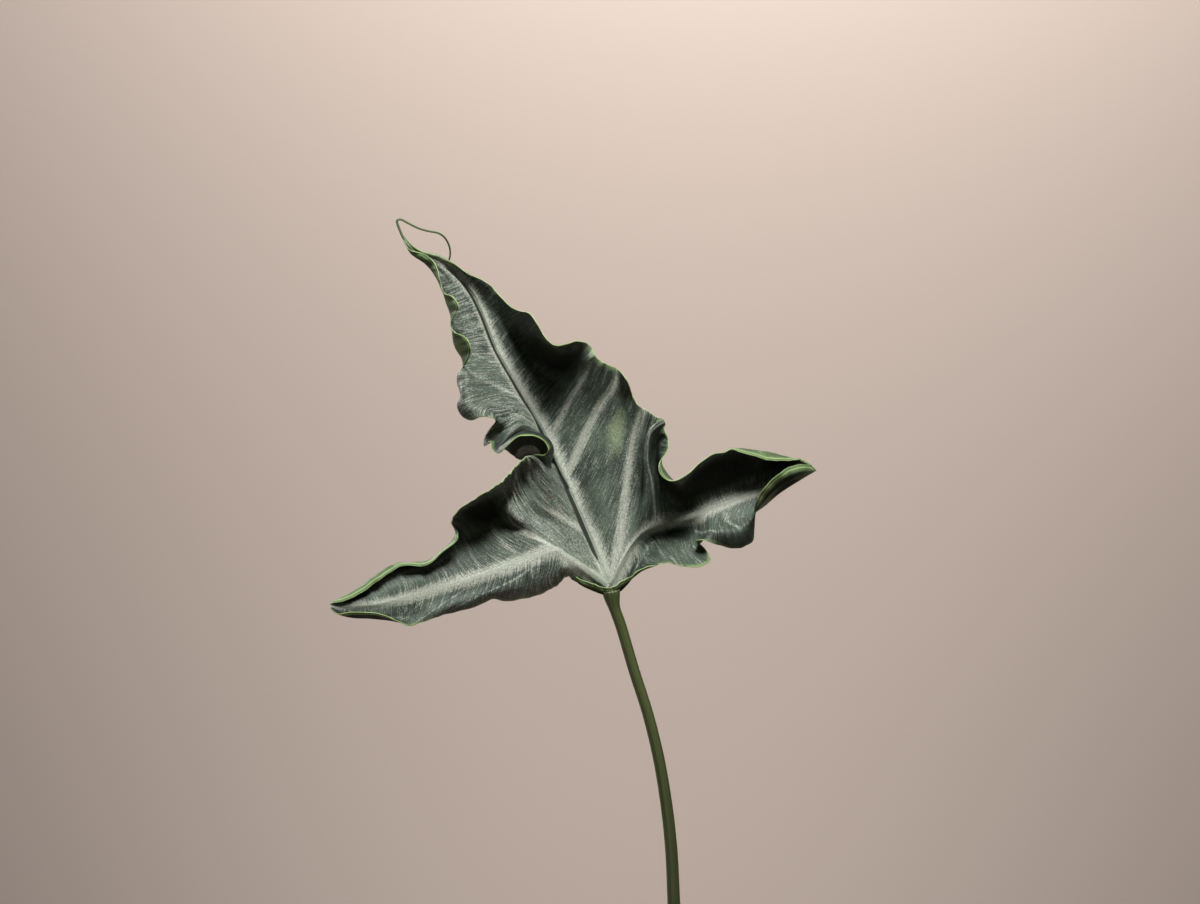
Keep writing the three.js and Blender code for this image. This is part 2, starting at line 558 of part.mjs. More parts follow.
// Loose potting soil: it fills the pot, is lumpy on top and has a plain hole for the corm
function soilGeometry() {
  const holeRadius = CORM_RADIUS + GAP;
  const edgeRadius = wallRadius(SOIL_LEVEL) - GAP;
  const rings = 7;
  const top = Array.from({ length: rings }, (_, i) => {
    const share = (i + 0.5) / rings;
    return [edgeRadius + (holeRadius - edgeRadius) * share, SOIL_LEVEL];
  });
  const outline = [
    [0, POT_FLOOR + GAP],
    [wallRadius(POT_FLOOR) - 2 - GAP, POT_FLOOR + GAP],
    [wallRadius(POT_FLOOR + 2) - GAP, POT_FLOOR + 2 + GAP],
    [wallRadius(SOIL_LEVEL - 2) - GAP, SOIL_LEVEL - 2],
    ...top,
    [holeRadius, SOIL_LEVEL],
    [holeRadius, SOIL_LEVEL - CORM_DEPTH],
    [0, SOIL_LEVEL - CORM_DEPTH],
  ];
  const soil = turned(outline, POT_SIDES);
  const places = soil.attributes.position;
  for (let i = 0; i < places.count; i += 1) {
    const x = places.getX(i);
    const y = places.getY(i);
    const radius = Math.hypot(x, y);
    const onTop = places.getZ(i) > SOIL_LEVEL - 1;
    const inside = THREE.MathUtils.smoothstep(radius, holeRadius, holeRadius + 8);
    if (onTop) places.setZ(i, SOIL_LEVEL + inside * soilLump(x, y));
  }
  return toGeometry(toSolid(soil));
}

// Height of the soil's lumps: three crossing waves of 9 to 21 mm
function soilLump(x, y) {
  const broad = Math.sin(x / 3.4 + 1.3) * Math.sin(y / 2.9 + 0.4);
  const middle = Math.sin((x + y) / 2.1) * Math.cos((x - y) / 1.7 + 2);
  const fine = Math.sin(x / 1.5 - y / 1.9);
  return 0.9 * broad + 0.7 * middle + 0.4 * fine;
}

// Swollen stem base with ring scars, standing in the soil, with a plain hole that takes the leaf stalk
function cormGeometry() {
  const foot = SOIL_LEVEL - CORM_DEPTH + GAP;
  const hole = STALK_FOOT_RADIUS + GAP;
  const outline = [
    [0, foot],
    [CORM_RADIUS - 2.5, foot],
    [CORM_RADIUS, foot + 3],
    [CORM_RADIUS, SOIL_LEVEL],
    [CORM_RADIUS - 0.8, SOIL_LEVEL + 1],
    [CORM_RADIUS - 0.2, SOIL_LEVEL + 2],
    [CORM_RADIUS - 0.6, SOIL_LEVEL + 4],
    [CORM_RADIUS - 1.7, SOIL_LEVEL + 4.8],
    [CORM_RADIUS - 1.3, SOIL_LEVEL + 6],
    [CORM_RADIUS - 2, SOIL_LEVEL + 8],
    [hole + 2.6, CORM_TOP - 0.6],
    [hole + 1, CORM_TOP],
    [hole, CORM_TOP - 0.5],
    [hole, STALK_SEAT],
    [0, STALK_SEAT],
  ];
  return turned(outline, 28);
}

// Curve of the leaf stalk from its seat in the corm up to the leaf
function stalkCurve() {
  const foot = new THREE.Vector3(0, 0, STALK_SEAT + GAP);
  return new THREE.CatmullRomCurve3([foot, ...STALK.map(gridPoint)], false, 'centripetal');
}

// Radius of the leaf stalk at a place from 0 at its foot to 1 at the leaf
function stalkRadius(place) {
  const taper = THREE.MathUtils.lerp(3.1, STALK_TOP_RADIUS, Math.min(place / 0.8, 1));
  const foot = (STALK_FOOT_RADIUS - 3.1) * Math.exp(-((place / 0.16) ** 2));
  const flare = 1.3 * THREE.MathUtils.smoothstep(place, 0.965, 1);
  return taper + foot + flare;
}

// The stalk is cut to sit against the leaf's underside with a fine gap
function stalkGeometry(sheet) {
  const clear = BLADE_THICKNESS / 2 + GAP;
  const room = toSolid(thickened(sheet, (i) => leafHalves(sheet, i, clear)));
  const stalk = toSolid(roundAlong(stalkCurve(), stalkRadius, 12, 44));
  return toGeometry(largestPiece(stalk.subtract(room)));
}

// Papery sheath wrapped about the stalk's foot, open on one side and drawn to a point on the other
function sheathGeometry() {
  const around = 16;
  const upward = 9;
  const sheet = { points: [], faces: [] };
  const curve = stalkCurve();
  for (let j = 0; j <= upward; j += 1) {
    for (let i = 0; i <= around; i += 1) {
      const side = 2 * i / around - 1;
      const reach = SHEATH_HEIGHT * (0.34 + 0.66 * (1 - Math.abs(side)) ** 0.8);
      const height = CORM_TOP + GAP + SHEATH_THICKNESS + reach * j / upward;
      const place = (height - STALK_SEAT - GAP) / curve.getLength();
      const centre = curve.getPointAt(place);
      const open = 1.6 * (j / upward) ** 2 + 0.5 * Math.cos(5 * side + j);
      const radius = stalkRadius(place) + GAP + SHEATH_THICKNESS / 2 + 0.7 + open;
      const angle = Math.PI * (0.25 + 0.86 * side);
      sheet.points.push(new THREE.Vector3(
        centre.x + radius * Math.cos(angle),
        centre.y + radius * Math.sin(angle),
        height,
      ));
    }
  }
  for (let j = 0; j < upward; j += 1) {
    for (let i = 0; i < around; i += 1) {
      const a = j * (around + 1) + i;
      addQuad(sheet, [a, a + 1, a + around + 2, a + around + 1]);
    }
  }
  const half = SHEATH_THICKNESS / 2;
  return thickened(sheet, () => ({ above: half, under: half }));
}

// Half thickness of the leaf on its two faces, with the rise of its ribs and veins
function leafHalves(sheet, i, half) {
  return {
    above: half + RIB_HEIGHT_ABOVE * sheet.ribs[i] + VEIN_HEIGHT * sheet.veins[i],
    under: half + RIB_HEIGHT_UNDER * sheet.ribs[i] + VEIN_HEIGHT * sheet.veins[i],
  };
}

// Leaf blade with its curled and waved edge, joined with the thread of its drip tip
function leafGeometry(sheet) {
  const blade = toSolid(thickened(sheet, (i) => leafHalves(sheet, i, BLADE_THICKNESS / 2)));
  const curve = new THREE.CatmullRomCurve3(THREAD.map(gridPoint), false, 'centripetal');
  const thinning = (place) => THREAD_RADIUS * (1.25 - 0.45 * place);
  const thread = toSolid(roundAlong(curve, thinning, 8, 44));
  return toGeometry(largestPiece(blade.add(thread)));
}

function piece(name, geometry, colour, roughness) {
  const material = new THREE.MeshStandardMaterial({ color: colour, roughness, metalness: 0 });
  const mesh = new THREE.Mesh(geometry, material);
  mesh.name = name;
  return mesh;
}

const sheet = bladeSheet();
const plant = new THREE.Group();
plant.add(piece('pot', potGeometry(), '#b4694a', 0.85));
plant.add(piece('soil', soilGeometry(), '#3a2a20', 1));
plant.add(piece('corm', cormGeometry(), '#6f5a3c', 0.8));
plant.add(piece('sheath', sheathGeometry(), '#a88f66', 0.7));
plant.add(piece('leaf_stalk', stalkGeometry(sheet), '#5d6b3a', 0.45));
plant.add(piece('leaf_blade', leafGeometry(sheet), '#3d4f48', 0.4));

export default plant;
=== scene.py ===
"""Potted alocasia: one crinkled arrow-shaped leaf on its stalk, growing from a corm in a clay pot.

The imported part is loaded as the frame. Each of its nodes is replaced by a finer piece of the same form,
worked out with numpy from the same drawn points as the part's own source. Sizes are in millimetres until
a piece is made a mesh.
"""
import math

import bpy
import numpy as np
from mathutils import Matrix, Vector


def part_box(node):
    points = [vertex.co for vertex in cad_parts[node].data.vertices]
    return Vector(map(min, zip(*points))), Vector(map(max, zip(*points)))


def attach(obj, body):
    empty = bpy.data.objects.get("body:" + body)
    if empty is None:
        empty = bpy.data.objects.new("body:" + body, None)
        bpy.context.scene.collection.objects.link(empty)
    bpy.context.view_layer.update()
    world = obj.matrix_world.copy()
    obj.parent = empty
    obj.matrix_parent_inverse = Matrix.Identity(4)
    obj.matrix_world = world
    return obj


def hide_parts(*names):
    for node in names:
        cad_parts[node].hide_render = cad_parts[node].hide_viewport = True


bl_info = {
    "name": "Potted Alocasia",
    "version": (1, 0, 0),
    "blender": (4, 5, 0),
    "location": "3D View > Sidebar > Alocasia",
    "description": "Builds the fine pieces of a potted alocasia over its packed frame",
    "category": "Object",
}

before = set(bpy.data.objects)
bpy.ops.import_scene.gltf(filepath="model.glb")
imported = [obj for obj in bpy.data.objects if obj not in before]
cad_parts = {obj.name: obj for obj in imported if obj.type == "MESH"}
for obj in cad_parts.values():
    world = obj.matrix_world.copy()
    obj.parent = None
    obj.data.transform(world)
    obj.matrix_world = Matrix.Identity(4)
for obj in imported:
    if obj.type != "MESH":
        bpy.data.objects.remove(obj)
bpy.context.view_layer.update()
POT_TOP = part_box("pot")[1].z * 1000
POT_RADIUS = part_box("pot")[1].x * 1000

# The leaf is drawn on a grid whose points are [across, down, near]: one step is 0.4 mm, and nearer
# points are drawn in towards the line of sight of someone 1 m in front.
GRID_STEP = 0.4
GRID_SIGHT = (600, 452)
GRID_SIGHT_DISTANCE = 2500
GRID_LEAF_BASE = (608, 584)
LEAF_BASE = (-29.6, 0, 350)

# Places along a rib count its drawn points: 0 at the leaf's tip, then the leaf base, then a lobe's tip
RIB_MEETING = 14
LOBE_TIP = 25

# Centre lines of the ribs: from the tip to the leaf base, and from there to the two lobe tips
MIDRIB = (
    (403, 235, 16), (409, 246, 14), (421, 253, 9), (437, 260, 4), (455, 273, -6), (470, 291, -14),
    (482, 315, -20), (496, 350, -24), (513, 380, -26), (531, 411, -26), (547, 440, -24),
    (562, 474, -20), (577, 508, -14), (592, 543, -8), (608, 584, 0),
)

LEFT_LOBE_RIB = (
    (608, 584, 0), (598, 577, 4), (582, 565, 9), (567, 555, 14), (555, 548, 17), (534, 556, 14),
    (505, 567, 10), (473, 578, 6), (440, 588, 4), (405, 598, 4), (370, 605, 8), (330, 605, 14),
)

RIGHT_LOBE_RIB = (
    (608, 584, 0), (615, 573, 0), (628, 549, -4), (641, 534, -10), (657, 526, -16), (682, 520, -18),
    (710, 510, -16), (738, 500, -14), (762, 490, -12), (785, 480, -8), (802, 471, 2), (815, 470, 7),
)

# Edges from the tip to the lobe tips, and from the notch above the stalk to the lobe tips
LEFT_EDGE = (
    (402, 236, 16), (406, 246, 15), (412, 251, 14), (424, 254, 14), (433, 261, 20), (438, 271, 24),
    (440, 281, 26), (444, 293, 22), (453, 297, 28), (458, 305, 32), (456, 314, 28), (451, 326, 14),
    (456, 333, 24), (465, 337, 36), (471, 348, 36), (468, 361, 26), (459, 371, 12), (457, 382, 8),
    (461, 395, 16), (457, 405, 14), (462, 416, 12), (472, 420, 20), (482, 417, 30), (493, 418, 30),
    (496, 422, 16), (490, 428, 0), (484, 437, -6), (484, 446, 0), (490, 441, 8), (492, 449, 16),
    (499, 453, 26), (508, 446, 34), (518, 437, 37), (526, 435.5, 38), (535, 436, 38), (544, 441, 36),
    (548, 449, 32), (545, 455, 26), (536, 455, 22), (526, 457, 26), (516, 466, 38), (501, 482, 46),
    (481, 495, 48), (465, 505, 42), (453, 517, 34), (452, 524, 24), (457, 532, 18), (456, 541, 24),
    (440, 555, 17), (429, 564, 14), (418, 566, 12), (406, 565.5, 11), (395, 569, 11), (383, 577, 12),
    (369, 588, 14), (354, 596.5, 16), (342, 601.5, 18), (331, 603, 16),
)

RIGHT_EDGE = (
    (404, 235, 16), (411, 244, 15), (421, 251, 12), (431, 253, 9), (441, 256, 5), (450, 261, 4),
    (460, 268, 3), (470, 275, 0), (480, 279, -2), (490, 285, -3), (499, 295, -2), (511, 307, 6),
    (521, 311, 22), (530, 314, 36), (538, 325, 40), (545, 337, 44), (554, 345, 50), (565, 345, 46),
    (575, 341, 39), (584, 342, 32), (591, 347, 28), (596, 357, 28), (606, 364, 24), (616, 368, 18),
    (621, 372, 24), (626, 379, 32), (629, 385, 26), (632, 394, 18), (638, 405, 14), (648, 411, 14),
    (656, 417, 22), (664, 420, 28), (665, 430, 29), (669, 443, 31), (665, 454, 35), (659, 464, 40),
    (660, 473, 42), (667, 480, 42), (677, 480, 42), (688, 473, 38), (700, 463, 33), (712, 455, 30),
    (724, 452, 28), (732, 449, 27), (742, 453, 26), (755, 456, 25), (768, 460, 25), (780, 461, 24),
    (792, 460, 22), (803, 460, 17), (811, 465, 14), (816, 471, 8),
)

LEFT_SINUS_EDGE = (
    (607, 587.5, 12), (600, 586.5, 11), (592, 583.5, 9), (580, 579, 6), (573, 576, 5), (566, 577, 4),
    (557, 585, 4), (547, 591, 4), (527, 598, 2), (508, 601, 2), (493, 599, 8), (480, 605, 6),
    (458, 611, 6), (427, 620, 10), (411, 626, 14), (400, 622, 22), (388, 617, 28), (375, 613, 32),
    (353, 612, 30), (338, 614, 24), (330, 608, 17),
)

RIGHT_SINUS_EDGE = (
    (607, 587.5, 12), (615, 586, 11), (624, 580, 8), (631, 576, 6), (640, 570, 6), (655, 565, 8),
    (668, 563, 12), (682, 566, 16), (696, 567, 18), (710, 561, 8), (706.5, 551, 0), (700, 544, 0),
    (695.5, 541, 9), (703, 539.5, 14), (718, 545, 8), (738, 548, 4), (752, 542, -4), (754, 528, -4),
    (754, 513, 4), (758, 499, 20), (768, 483, 30), (784, 470.5, 31), (799, 464.5, 27), (811, 466, 14),
    (816, 471, 8),
)

# Stations of the outer strips: place on the rib, place on the edge, then belly, crease and roll
LEFT_OUTER = (
    (0, 0, (402.6, 235.5, 16), (402.4, 236, 16), (402.2, 236, 16)),
    (1, 1, (408, 246.3, 13.5), (407.4, 246.4, 13.5), (406.8, 246.4, 14)),
    (2, 2.4, (418, 254, 9), (415, 255, 8), (411.5, 253, 10)),
    (3, 4, (433, 261.5, 4), (429, 264, 3), (427, 264, 10)),
    (4, 6, (449, 276, -2), (443, 279, 0), (438, 280, 12)),
    (5, 8.3, (461, 296, -6), (451, 300, -2), (447, 302, 12)),
    (6, 10.6, (470, 318, -8), (459, 321, -2), (452, 321, 12)),
    (6.6, 13, (477, 339, -10), (464, 341, -4), (454, 342, 10)),
    (7.3, 15, (485, 358, -10), (471, 359, 0), (463, 360, 12)),
    (8, 17, (493, 378, -8), (475, 379, 10), (465, 380, 20)),
    (8.7, 20, (503, 398, -8), (484, 402, 10), (469, 408, 24)),
    (9.3, 22.6, (516, 409, -6), (500, 409, 8), (489, 411, 22)),
    (9.55, 24.4, (518, 415, -6), (504, 419, 6), (499, 421, 14)),
    (9.8, 26.4, (521, 421, -6), (508, 427, 2), (497, 432, 2)),
    (10.15, 29.6, (524, 429, -10), (509, 438, 4), (499, 447, 14)),
    (10.4, 31.2, (524, 445, -26), (508, 450, -24), (503, 446, 18)),
    (10.65, 33, (530, 457, -42), (516, 455, -44), (522, 432, 10)),
    (10.9, 35, (541, 461, -44), (531, 455, -48), (545, 437, 10)),
    (11.15, 36.2, (551, 461, -32), (545, 464, -34), (553, 450, 12)),
    (11.35, 37, (554, 468, -18), (551, 467, -14), (549, 461, 6)),
    (11.6, 37.9, (554, 473, -4), (546, 467, 6), (541, 461, 14)),
    (12.2, 38.6, (556, 486, 6), (546, 471, 20), (539, 462, 22)),
    (13, 39.3, (564, 516, 4), (541, 494, 12), (527, 475, 8)),
    (14.6, 40, (558, 534, 6), (531, 508, 4), (517, 484, 14)),
    (16.5, 41, (534, 530, 10), (512, 514, 10), (505, 493, 8)),
    (18.3, 42.1, (518, 536, 4), (498, 522, -18), (482, 505, 6)),
    (19.2, 43.3, (500, 544, -2), (482, 528, -18), (466, 512, 10)),
    (20, 44.7, (482, 552, -4), (467, 536, -10), (456, 524, 12)),
    (21, 46.6, (462, 563, 1), (456, 549, 0), (453, 540, 11)),
    (21.6, 48.4, (446, 570, 2), (437, 562, 1), (434, 558, 8)),
    (22.3, 50.4, (428, 578, 3), (417, 569, 1), (413, 563, 6)),
    (23, 52.4, (404, 585, 3), (397, 574, 1), (393, 565, 6)),
    (24, 54.6, (368, 598, 7), (362, 593, 5), (358, 589, 9)),
    (25, 57, (330.6, 604.5, 15), (330.7, 604, 15), (330.8, 603.5, 16)),
)

RIGHT_OUTER = (
    (0, 0, (403.2, 235.2, 16), (403.5, 235.2, 16), (403.8, 235, 16)),
    (1, 1, (409.6, 245.5, 14), (410, 245, 14), (410.6, 244.4, 14.5)),
    (2, 2, (421, 252.5, 10), (421, 252, 11), (421, 251.5, 11.5)),
    (3, 4, (438, 259, 4), (439.3, 258, 6), (440.3, 257, 7)),
    (4, 6, (457, 271.2, -5), (459, 269.5, -2), (460, 268.6, 1)),
    (5, 8, (473, 288, -13), (476.5, 284, -9), (479, 281, -4)),
    (6, 10.3, (488, 309, -19), (494.5, 304, -14), (500, 299.5, -6)),
    (6.7, 12, (500, 329, -22), (509, 320.5, -20), (517, 314.5, 0)),
    (7.4, 14.4, (512, 350, -26), (523, 340.5, -26), (534, 332, 14)),
    (8.2, 17, (526, 373, -29), (541, 360.5, -28), (556, 350, 20)),
    (9, 19, (545, 390, -28), (562, 372, -22), (578, 353, 20)),
    (9.7, 20.8, (563, 403, -18), (579, 379, 4), (590, 359, 26)),
    (10.9, 23, (583, 436, -12), (602, 404, 0), (614, 380, 14)),
    (12.2, 26.5, (605, 462, -6), (621, 420, 2), (629, 398, 12)),
    (13.4, 28.5, (622, 496, -4), (632, 452, 0), (640, 425, 8)),
    (15, 30, (638, 500, -8), (643, 466, -4), (649, 437, 14)),
    (17.6, 31.4, (651, 488, 6), (648, 453, 19), (654, 432, 27)),
    (18.2, 32.8, (658, 486, -8), (655, 456, 6), (661, 439, 18)),
    (18.8, 34.6, (668, 499, -18), (664, 477, 0), (661, 464, 24)),
    (19.3, 37, (683, 505, -26), (680, 491, -2), (676, 483, 26)),
    (20, 39.6, (703, 497, -20), (698, 481, 0), (695, 470, 20)),
    (20.6, 41.6, (723, 490, -18), (720, 472, 0), (717, 457, 14)),
    (21.2, 43.4, (741, 484, -17), (738, 466, 0), (736, 450, 13)),
    (21.9, 45.4, (759, 477, -15), (759, 464, 0), (758, 451, 12)),
    (22.8, 47.4, (777, 470, -10), (778, 461, 2), (778, 455, 11)),
    (23.8, 49.2, (798, 465, 1), (800, 463, 8), (801, 461.5, 16)),
    (25, 51, (815.2, 470, 7.2), (815.5, 470.4, 7.5), (815.8, 470.8, 8)),
)

# Stations of the inner strips: place on the rib, place on the edge, then middle and roll
LEFT_INNER = (
    (14, 0, (609, 594, -1), (608.5, 595, 6)),
    (14.7, 1.4, (600, 588.5, -1), (598, 592, 3)),
    (15.3, 2.6, (590, 580.5, 2), (588, 588, 1)),
    (16, 4, (580, 572, 7), (575, 581, 2)),
    (17, 5.2, (566, 565, 15), (564, 571, 12)),
    (18, 6.5, (552, 566, 18), (549, 579, 14)),
    (19, 8, (532, 575, 18), (529, 589, 12)),
    (20, 9.7, (502, 582, 14), (499, 592, 14)),
    (21, 12, (468, 592, 8), (462, 602, 12)),
    (22, 13, (436, 602, 6), (431, 613, 10)),
    (23, 14.7, (405, 610, 4), (404, 620, 6)),
    (24, 17, (370, 612, 6), (370, 618, 10)),
    (24.6, 18.8, (347, 611, 11), (345, 615.5, 14)),
    (25, 20, (330.4, 606, 15), (330.2, 607, 16)),
)

RIGHT_INNER = (
    (14, 0, (609, 594, -1), (608.5, 595, 6)),
    (15, 2, (621, 583.5, -3), (621, 590, 0)),
    (16, 4.4, (634, 562, -10), (634, 575, -8)),
    (17, 6, (652, 543, -26), (657, 552, -8)),
    (18, 7.4, (670, 536, -28), (676, 549, -8)),
    (19, 9, (690, 534, -27), (693, 550, -6)),
    (19.5, 11.4, (699, 530.5, -18), (699, 544, -6)),
    (20, 13.4, (709, 526, -4), (709, 534, 6)),
    (20.8, 14.6, (723, 523, 0), (727, 533, 14)),
    (21.6, 16, (741, 517, -2), (745, 529, 8)),
    (22.2, 18, (760, 508, -8), (757, 509, 12)),
    (23, 20, (779, 493, 4), (777, 486, 22)),
    (24, 22, (799, 480, 12), (798, 474, 27)),
    (25, 24, (815.3, 470.5, 7.3), (815.6, 470.8, 7.6)),
)

# The drip tip, drawn out to a thread that loops over the blade
TIP_THREAD = (
    (412, 250, 12), (404, 239, 15), (399, 228, 18), (397, 221, 20), (401, 219.5, 20), (408, 223, 18),
    (418, 228, 14), (428, 231, 8), (438, 233, 2), (445, 238, -6), (449.5, 247, -14), (450, 256, -20),
    (447, 265, -26),
)

# Side veins of each strip: half width in millimetres, strength, and points (share of the way from rib
# to edge, place on the rib)
VEINS = {
    "left_outer": (
        (0.8, 0.45, ((0, 4.2), (1, 3.5))),
        (0.9, 0.5, ((0, 5.6), (1, 4.9))),
        (1.0, 0.5, ((0, 6.7), (0.5, 6.3), (1, 6.1))),
        (1.0, 0.6, ((0, 7.7), (0.5, 7.2), (1, 6.9))),
        (1.3, 0.9, ((0, 8.65), (0.1, 8.57), (0.32, 8.34), (0.51, 8.06), (0.73, 7.76), (1, 7.3))),
        (1.0, 0.6, ((0, 9.8), (0.5, 9.45), (1, 9.2))),
        (0.9, 0.5, ((0, 11.2), (0.5, 11.1), (1, 11))),
        (1.3, 0.9, ((0, 12.8), (0.15, 12.87), (0.36, 13.07), (0.53, 13.27), (0.68, 13.45),
                    (0.81, 12.97), (1, 12.4))),
        (1.2, 0.9, ((0, 17.9), (0.05, 17.71), (0.27, 17.63), (0.54, 17.36), (0.71, 16.61),
                    (0.85, 14.98), (1, 14.2))),
        (1.0, 0.5, ((0, 19.4), (0.4, 19), (1, 18.4))),
        (1.0, 0.5, ((0, 20.6), (0.5, 20.4), (1, 20.1))),
        (0.9, 0.45, ((0, 21.8), (1, 21.4))),
        (0.8, 0.4, ((0, 23), (1, 22.8))),
    ),
    "right_outer": (
        (0.7, 0.35, ((0, 4.4), (1, 3.6))),
        (0.8, 0.4, ((0, 5.8), (1, 5))),
        (0.9, 0.45, ((0, 7.1), (1, 6.6))),
        (1.1, 0.5, ((0, 8.5), (0.32, 8.34), (0.53, 8.26), (0.71, 8.16), (1, 8.1))),
        (1.5, 0.85, ((0, 10.1), (0.14, 9.97), (0.44, 9.84), (0.75, 9.82), (0.86, 9.69), (1, 9.6))),
        (2.0, 1.0, ((0, 11.3), (0.07, 11.14), (0.2, 11.07), (0.49, 10.89), (0.63, 10.84),
                    (0.8, 10.97), (1, 11.15))),
        (2.1, 1.0, ((0, 14.2), (0.14, 14), (0.36, 13.6), (0.47, 13.42), (0.63, 13.32),
                    (0.76, 13.17), (1, 13.45))),
        (0.6, 0.9, ((0, 17.96), (0.46, 17.63), (0.75, 17.41), (0.86, 17.18), (1, 16.6))),
        (1.4, 0.7, ((0, 19.4), (0.07, 19.76), (0.22, 20.14), (0.42, 20.46), (0.76, 20.74), (1, 20.9))),
        (1.0, 0.4, ((0, 21.4), (1, 22))),
        (0.8, 0.4, ((0, 22.8), (1, 23.2))),
    ),
    "left_inner": (
        (1.0, 0.5, ((0, 16.4), (1, 16.8))),
        (1.1, 0.7, ((0, 18.6), (0.2, 19), (0.51, 19.91), (0.64, 20.41), (0.77, 20.89), (1, 21.7))),
        (0.9, 0.5, ((0, 20.6), (1, 22.6))),
        (0.8, 0.4, ((0, 22.2), (1, 23.4))),
    ),
    "right_inner": (
        (0.9, 0.4, ((0, 16), (1, 16.2))),
        (1.2, 0.8, ((0, 18), (0.13, 18.28), (0.28, 19.09), (0.72, 20.29), (1, 21.2))),
        (0.9, 0.5, ((0, 20.4), (1, 22))),
        (0.8, 0.4, ((0, 22), (1, 23))),
    ),
}

# How much silver each strip has all over, partly painted sheen: most on the left half
SILVER_AND_PAINTED_SHEEN = {"left_outer": 0.27, "right_outer": 0.04, "left_inner": 0.3, "right_inner": 0.15}

# Paler patches of each strip, and darker patches of painted shade in its folds: rib place, share across, half
# widths of both, and how pale or (below zero) how dark
PALE_PATCHES_AND_PAINTED_SHADE = {
    "left_outer": (
        (10.8, 0.75, 0.55, 0.42, -1), (18.4, 0.8, 1.5, 0.16, -1), (22.6, 0.76, 2.0, 0.1, -0.9),
        (13.6, 0.8, 0.6, 0.12, -0.6), (7.7, 0.5, 1.2, 0.3, -0.25), (20.9, 0.5, 0.8, 0.25, -0.3),
        (10.0, 0.95, 0.25, 0.3, -0.8), (10.9, 0.28, 0.4, 0.17, -1), (24.6, 0.3, 0.8, 0.6, -0.5),
    ),
    "right_outer": (
        (12.2, 0.6, 0.6, 0.16, 0.45), (12.15, 0.35, 0.9, 0.24, 0.1), (12.4, 0.12, 0.7, 0.12, -0.5),
        (8.0, 0.74, 1.0, 0.2, -0.9), (9.1, 0.76, 0.6, 0.18, -0.6), (20.3, 0.62, 2.2, 0.32, -1),
        (23.2, 0.6, 1.0, 0.4, -0.8), (16.3, 0.5, 1.0, 0.3, -0.6), (5.6, 0.9, 1.2, 0.12, -0.3),
    ),
    "left_inner": (
        (19.6, 0.96, 4.5, 0.16, -0.4), (14.9, 0.85, 1.7, 0.4, -1), (24.1, 0.85, 1.1, 0.25, -1),
        (24.6, 0.3, 0.8, 0.5, -0.5),
    ),
    "right_inner": (
        (18.4, 0.36, 0.8, 0.2, -1), (21.2, 0.9, 1.4, 0.2, -0.8), (23.4, 0.5, 1.0, 0.24, -1),
        (19.1, 0.92, 0.4, 0.2, -0.6), (14.9, 0.85, 1.7, 0.4, -1), (17.6, 0.75, 0.9, 0.2, -0.3),
        (23.4, 0.77, 1.3, 0.07, -1),
    ),
}

# Specks by the name of their colour: radius in millimetres, strip, rib place and share across
SPECKS = {"brown": (0.75, "right_outer", 9.92, 0.32), "red": (0.5, "left_outer", 12.82, 0.56)}

# Each strip of the blade: rib of its lobe, edge, stations, places of its rows across it, and side of the
# rib: 1 on the left hand on the way from the leaf's tip to the lobe's tip, -1 on the right hand
OUTER_ROW_PLACES = (0, 0.36, 0.66, 0.86, 1)
INNER_ROW_PLACES = (0, 0.4, 0.74, 1)
STRIPS = {
    "left_outer": (LEFT_LOBE_RIB, LEFT_EDGE, LEFT_OUTER, OUTER_ROW_PLACES, -1),
    "right_outer": (RIGHT_LOBE_RIB, RIGHT_EDGE, RIGHT_OUTER, OUTER_ROW_PLACES, 1),
    "left_inner": (LEFT_LOBE_RIB, LEFT_SINUS_EDGE, LEFT_INNER, INNER_ROW_PLACES, 1),
    "right_inner": (RIGHT_LOBE_RIB, RIGHT_SINUS_EDGE, RIGHT_INNER, INNER_ROW_PLACES, -1),
}

# Steps of the fine grid along the ribs, as (from, to, steps), and across an outer and an inner strip
MIDRIB_STEPS = ((0, 6, 70), (6, 9, 50), (9, 11.4, 80), (11.4, 14, 44))
LOBE_STEPS = {"left": ((14, 25, 190),), "right": ((14, 17.4, 50), (17.4, 19.4, 50), (19.4, 25, 90))}
OUTER_COLUMNS = 40
INNER_COLUMNS = 24

VEIN_RIDGE = 0.7            # half width of a side vein's own ridge
LEAST_HALF_BLADE = 0.16     # the blade's two faces never come closer to its middle than this
OUTSIDE_GROOVE = 9.0        # value of the groove's coordinate where there is no groove

# What the blade's materials read at each point: millimetres from the rib and from the edge, how strong the
# vein and the silver are, the size of the rib beside it, its places across the groove and across the rib's
# crest, and how pale its patch is or how dark its painted shade is
POINT_FIELDS = ("from_rib", "from_edge", "vein", "silver", "rib_size", "groove_with_painted_shade", "patch", "across_rib")


# Curves through drawn points

def cubic_through(values, places, slopes, at):
    """Cubic Hermite curve: between two places the value leaves with one's slope and arrives with the
    other's."""
    i = np.clip(np.searchsorted(places, at, side="right") - 1, 0, len(places) - 2)
    width = places[i + 1] - places[i]
    t = np.clip((at - places[i]) / width, 0, 1)
    shape = (-1,) + (1,) * (values.ndim - 1)
    parts = (
        (1 + 2 * t) * (1 - t) ** 2, t * t * (3 - 2 * t), t * (1 - t) ** 2 * width, t * t * (t - 1) * width,
    )
    start, end, leaving, arriving = (part.reshape(shape) for part in parts)
    return start * values[i] + end * values[i + 1] + leaving * slopes[i] + arriving * slopes[i + 1]


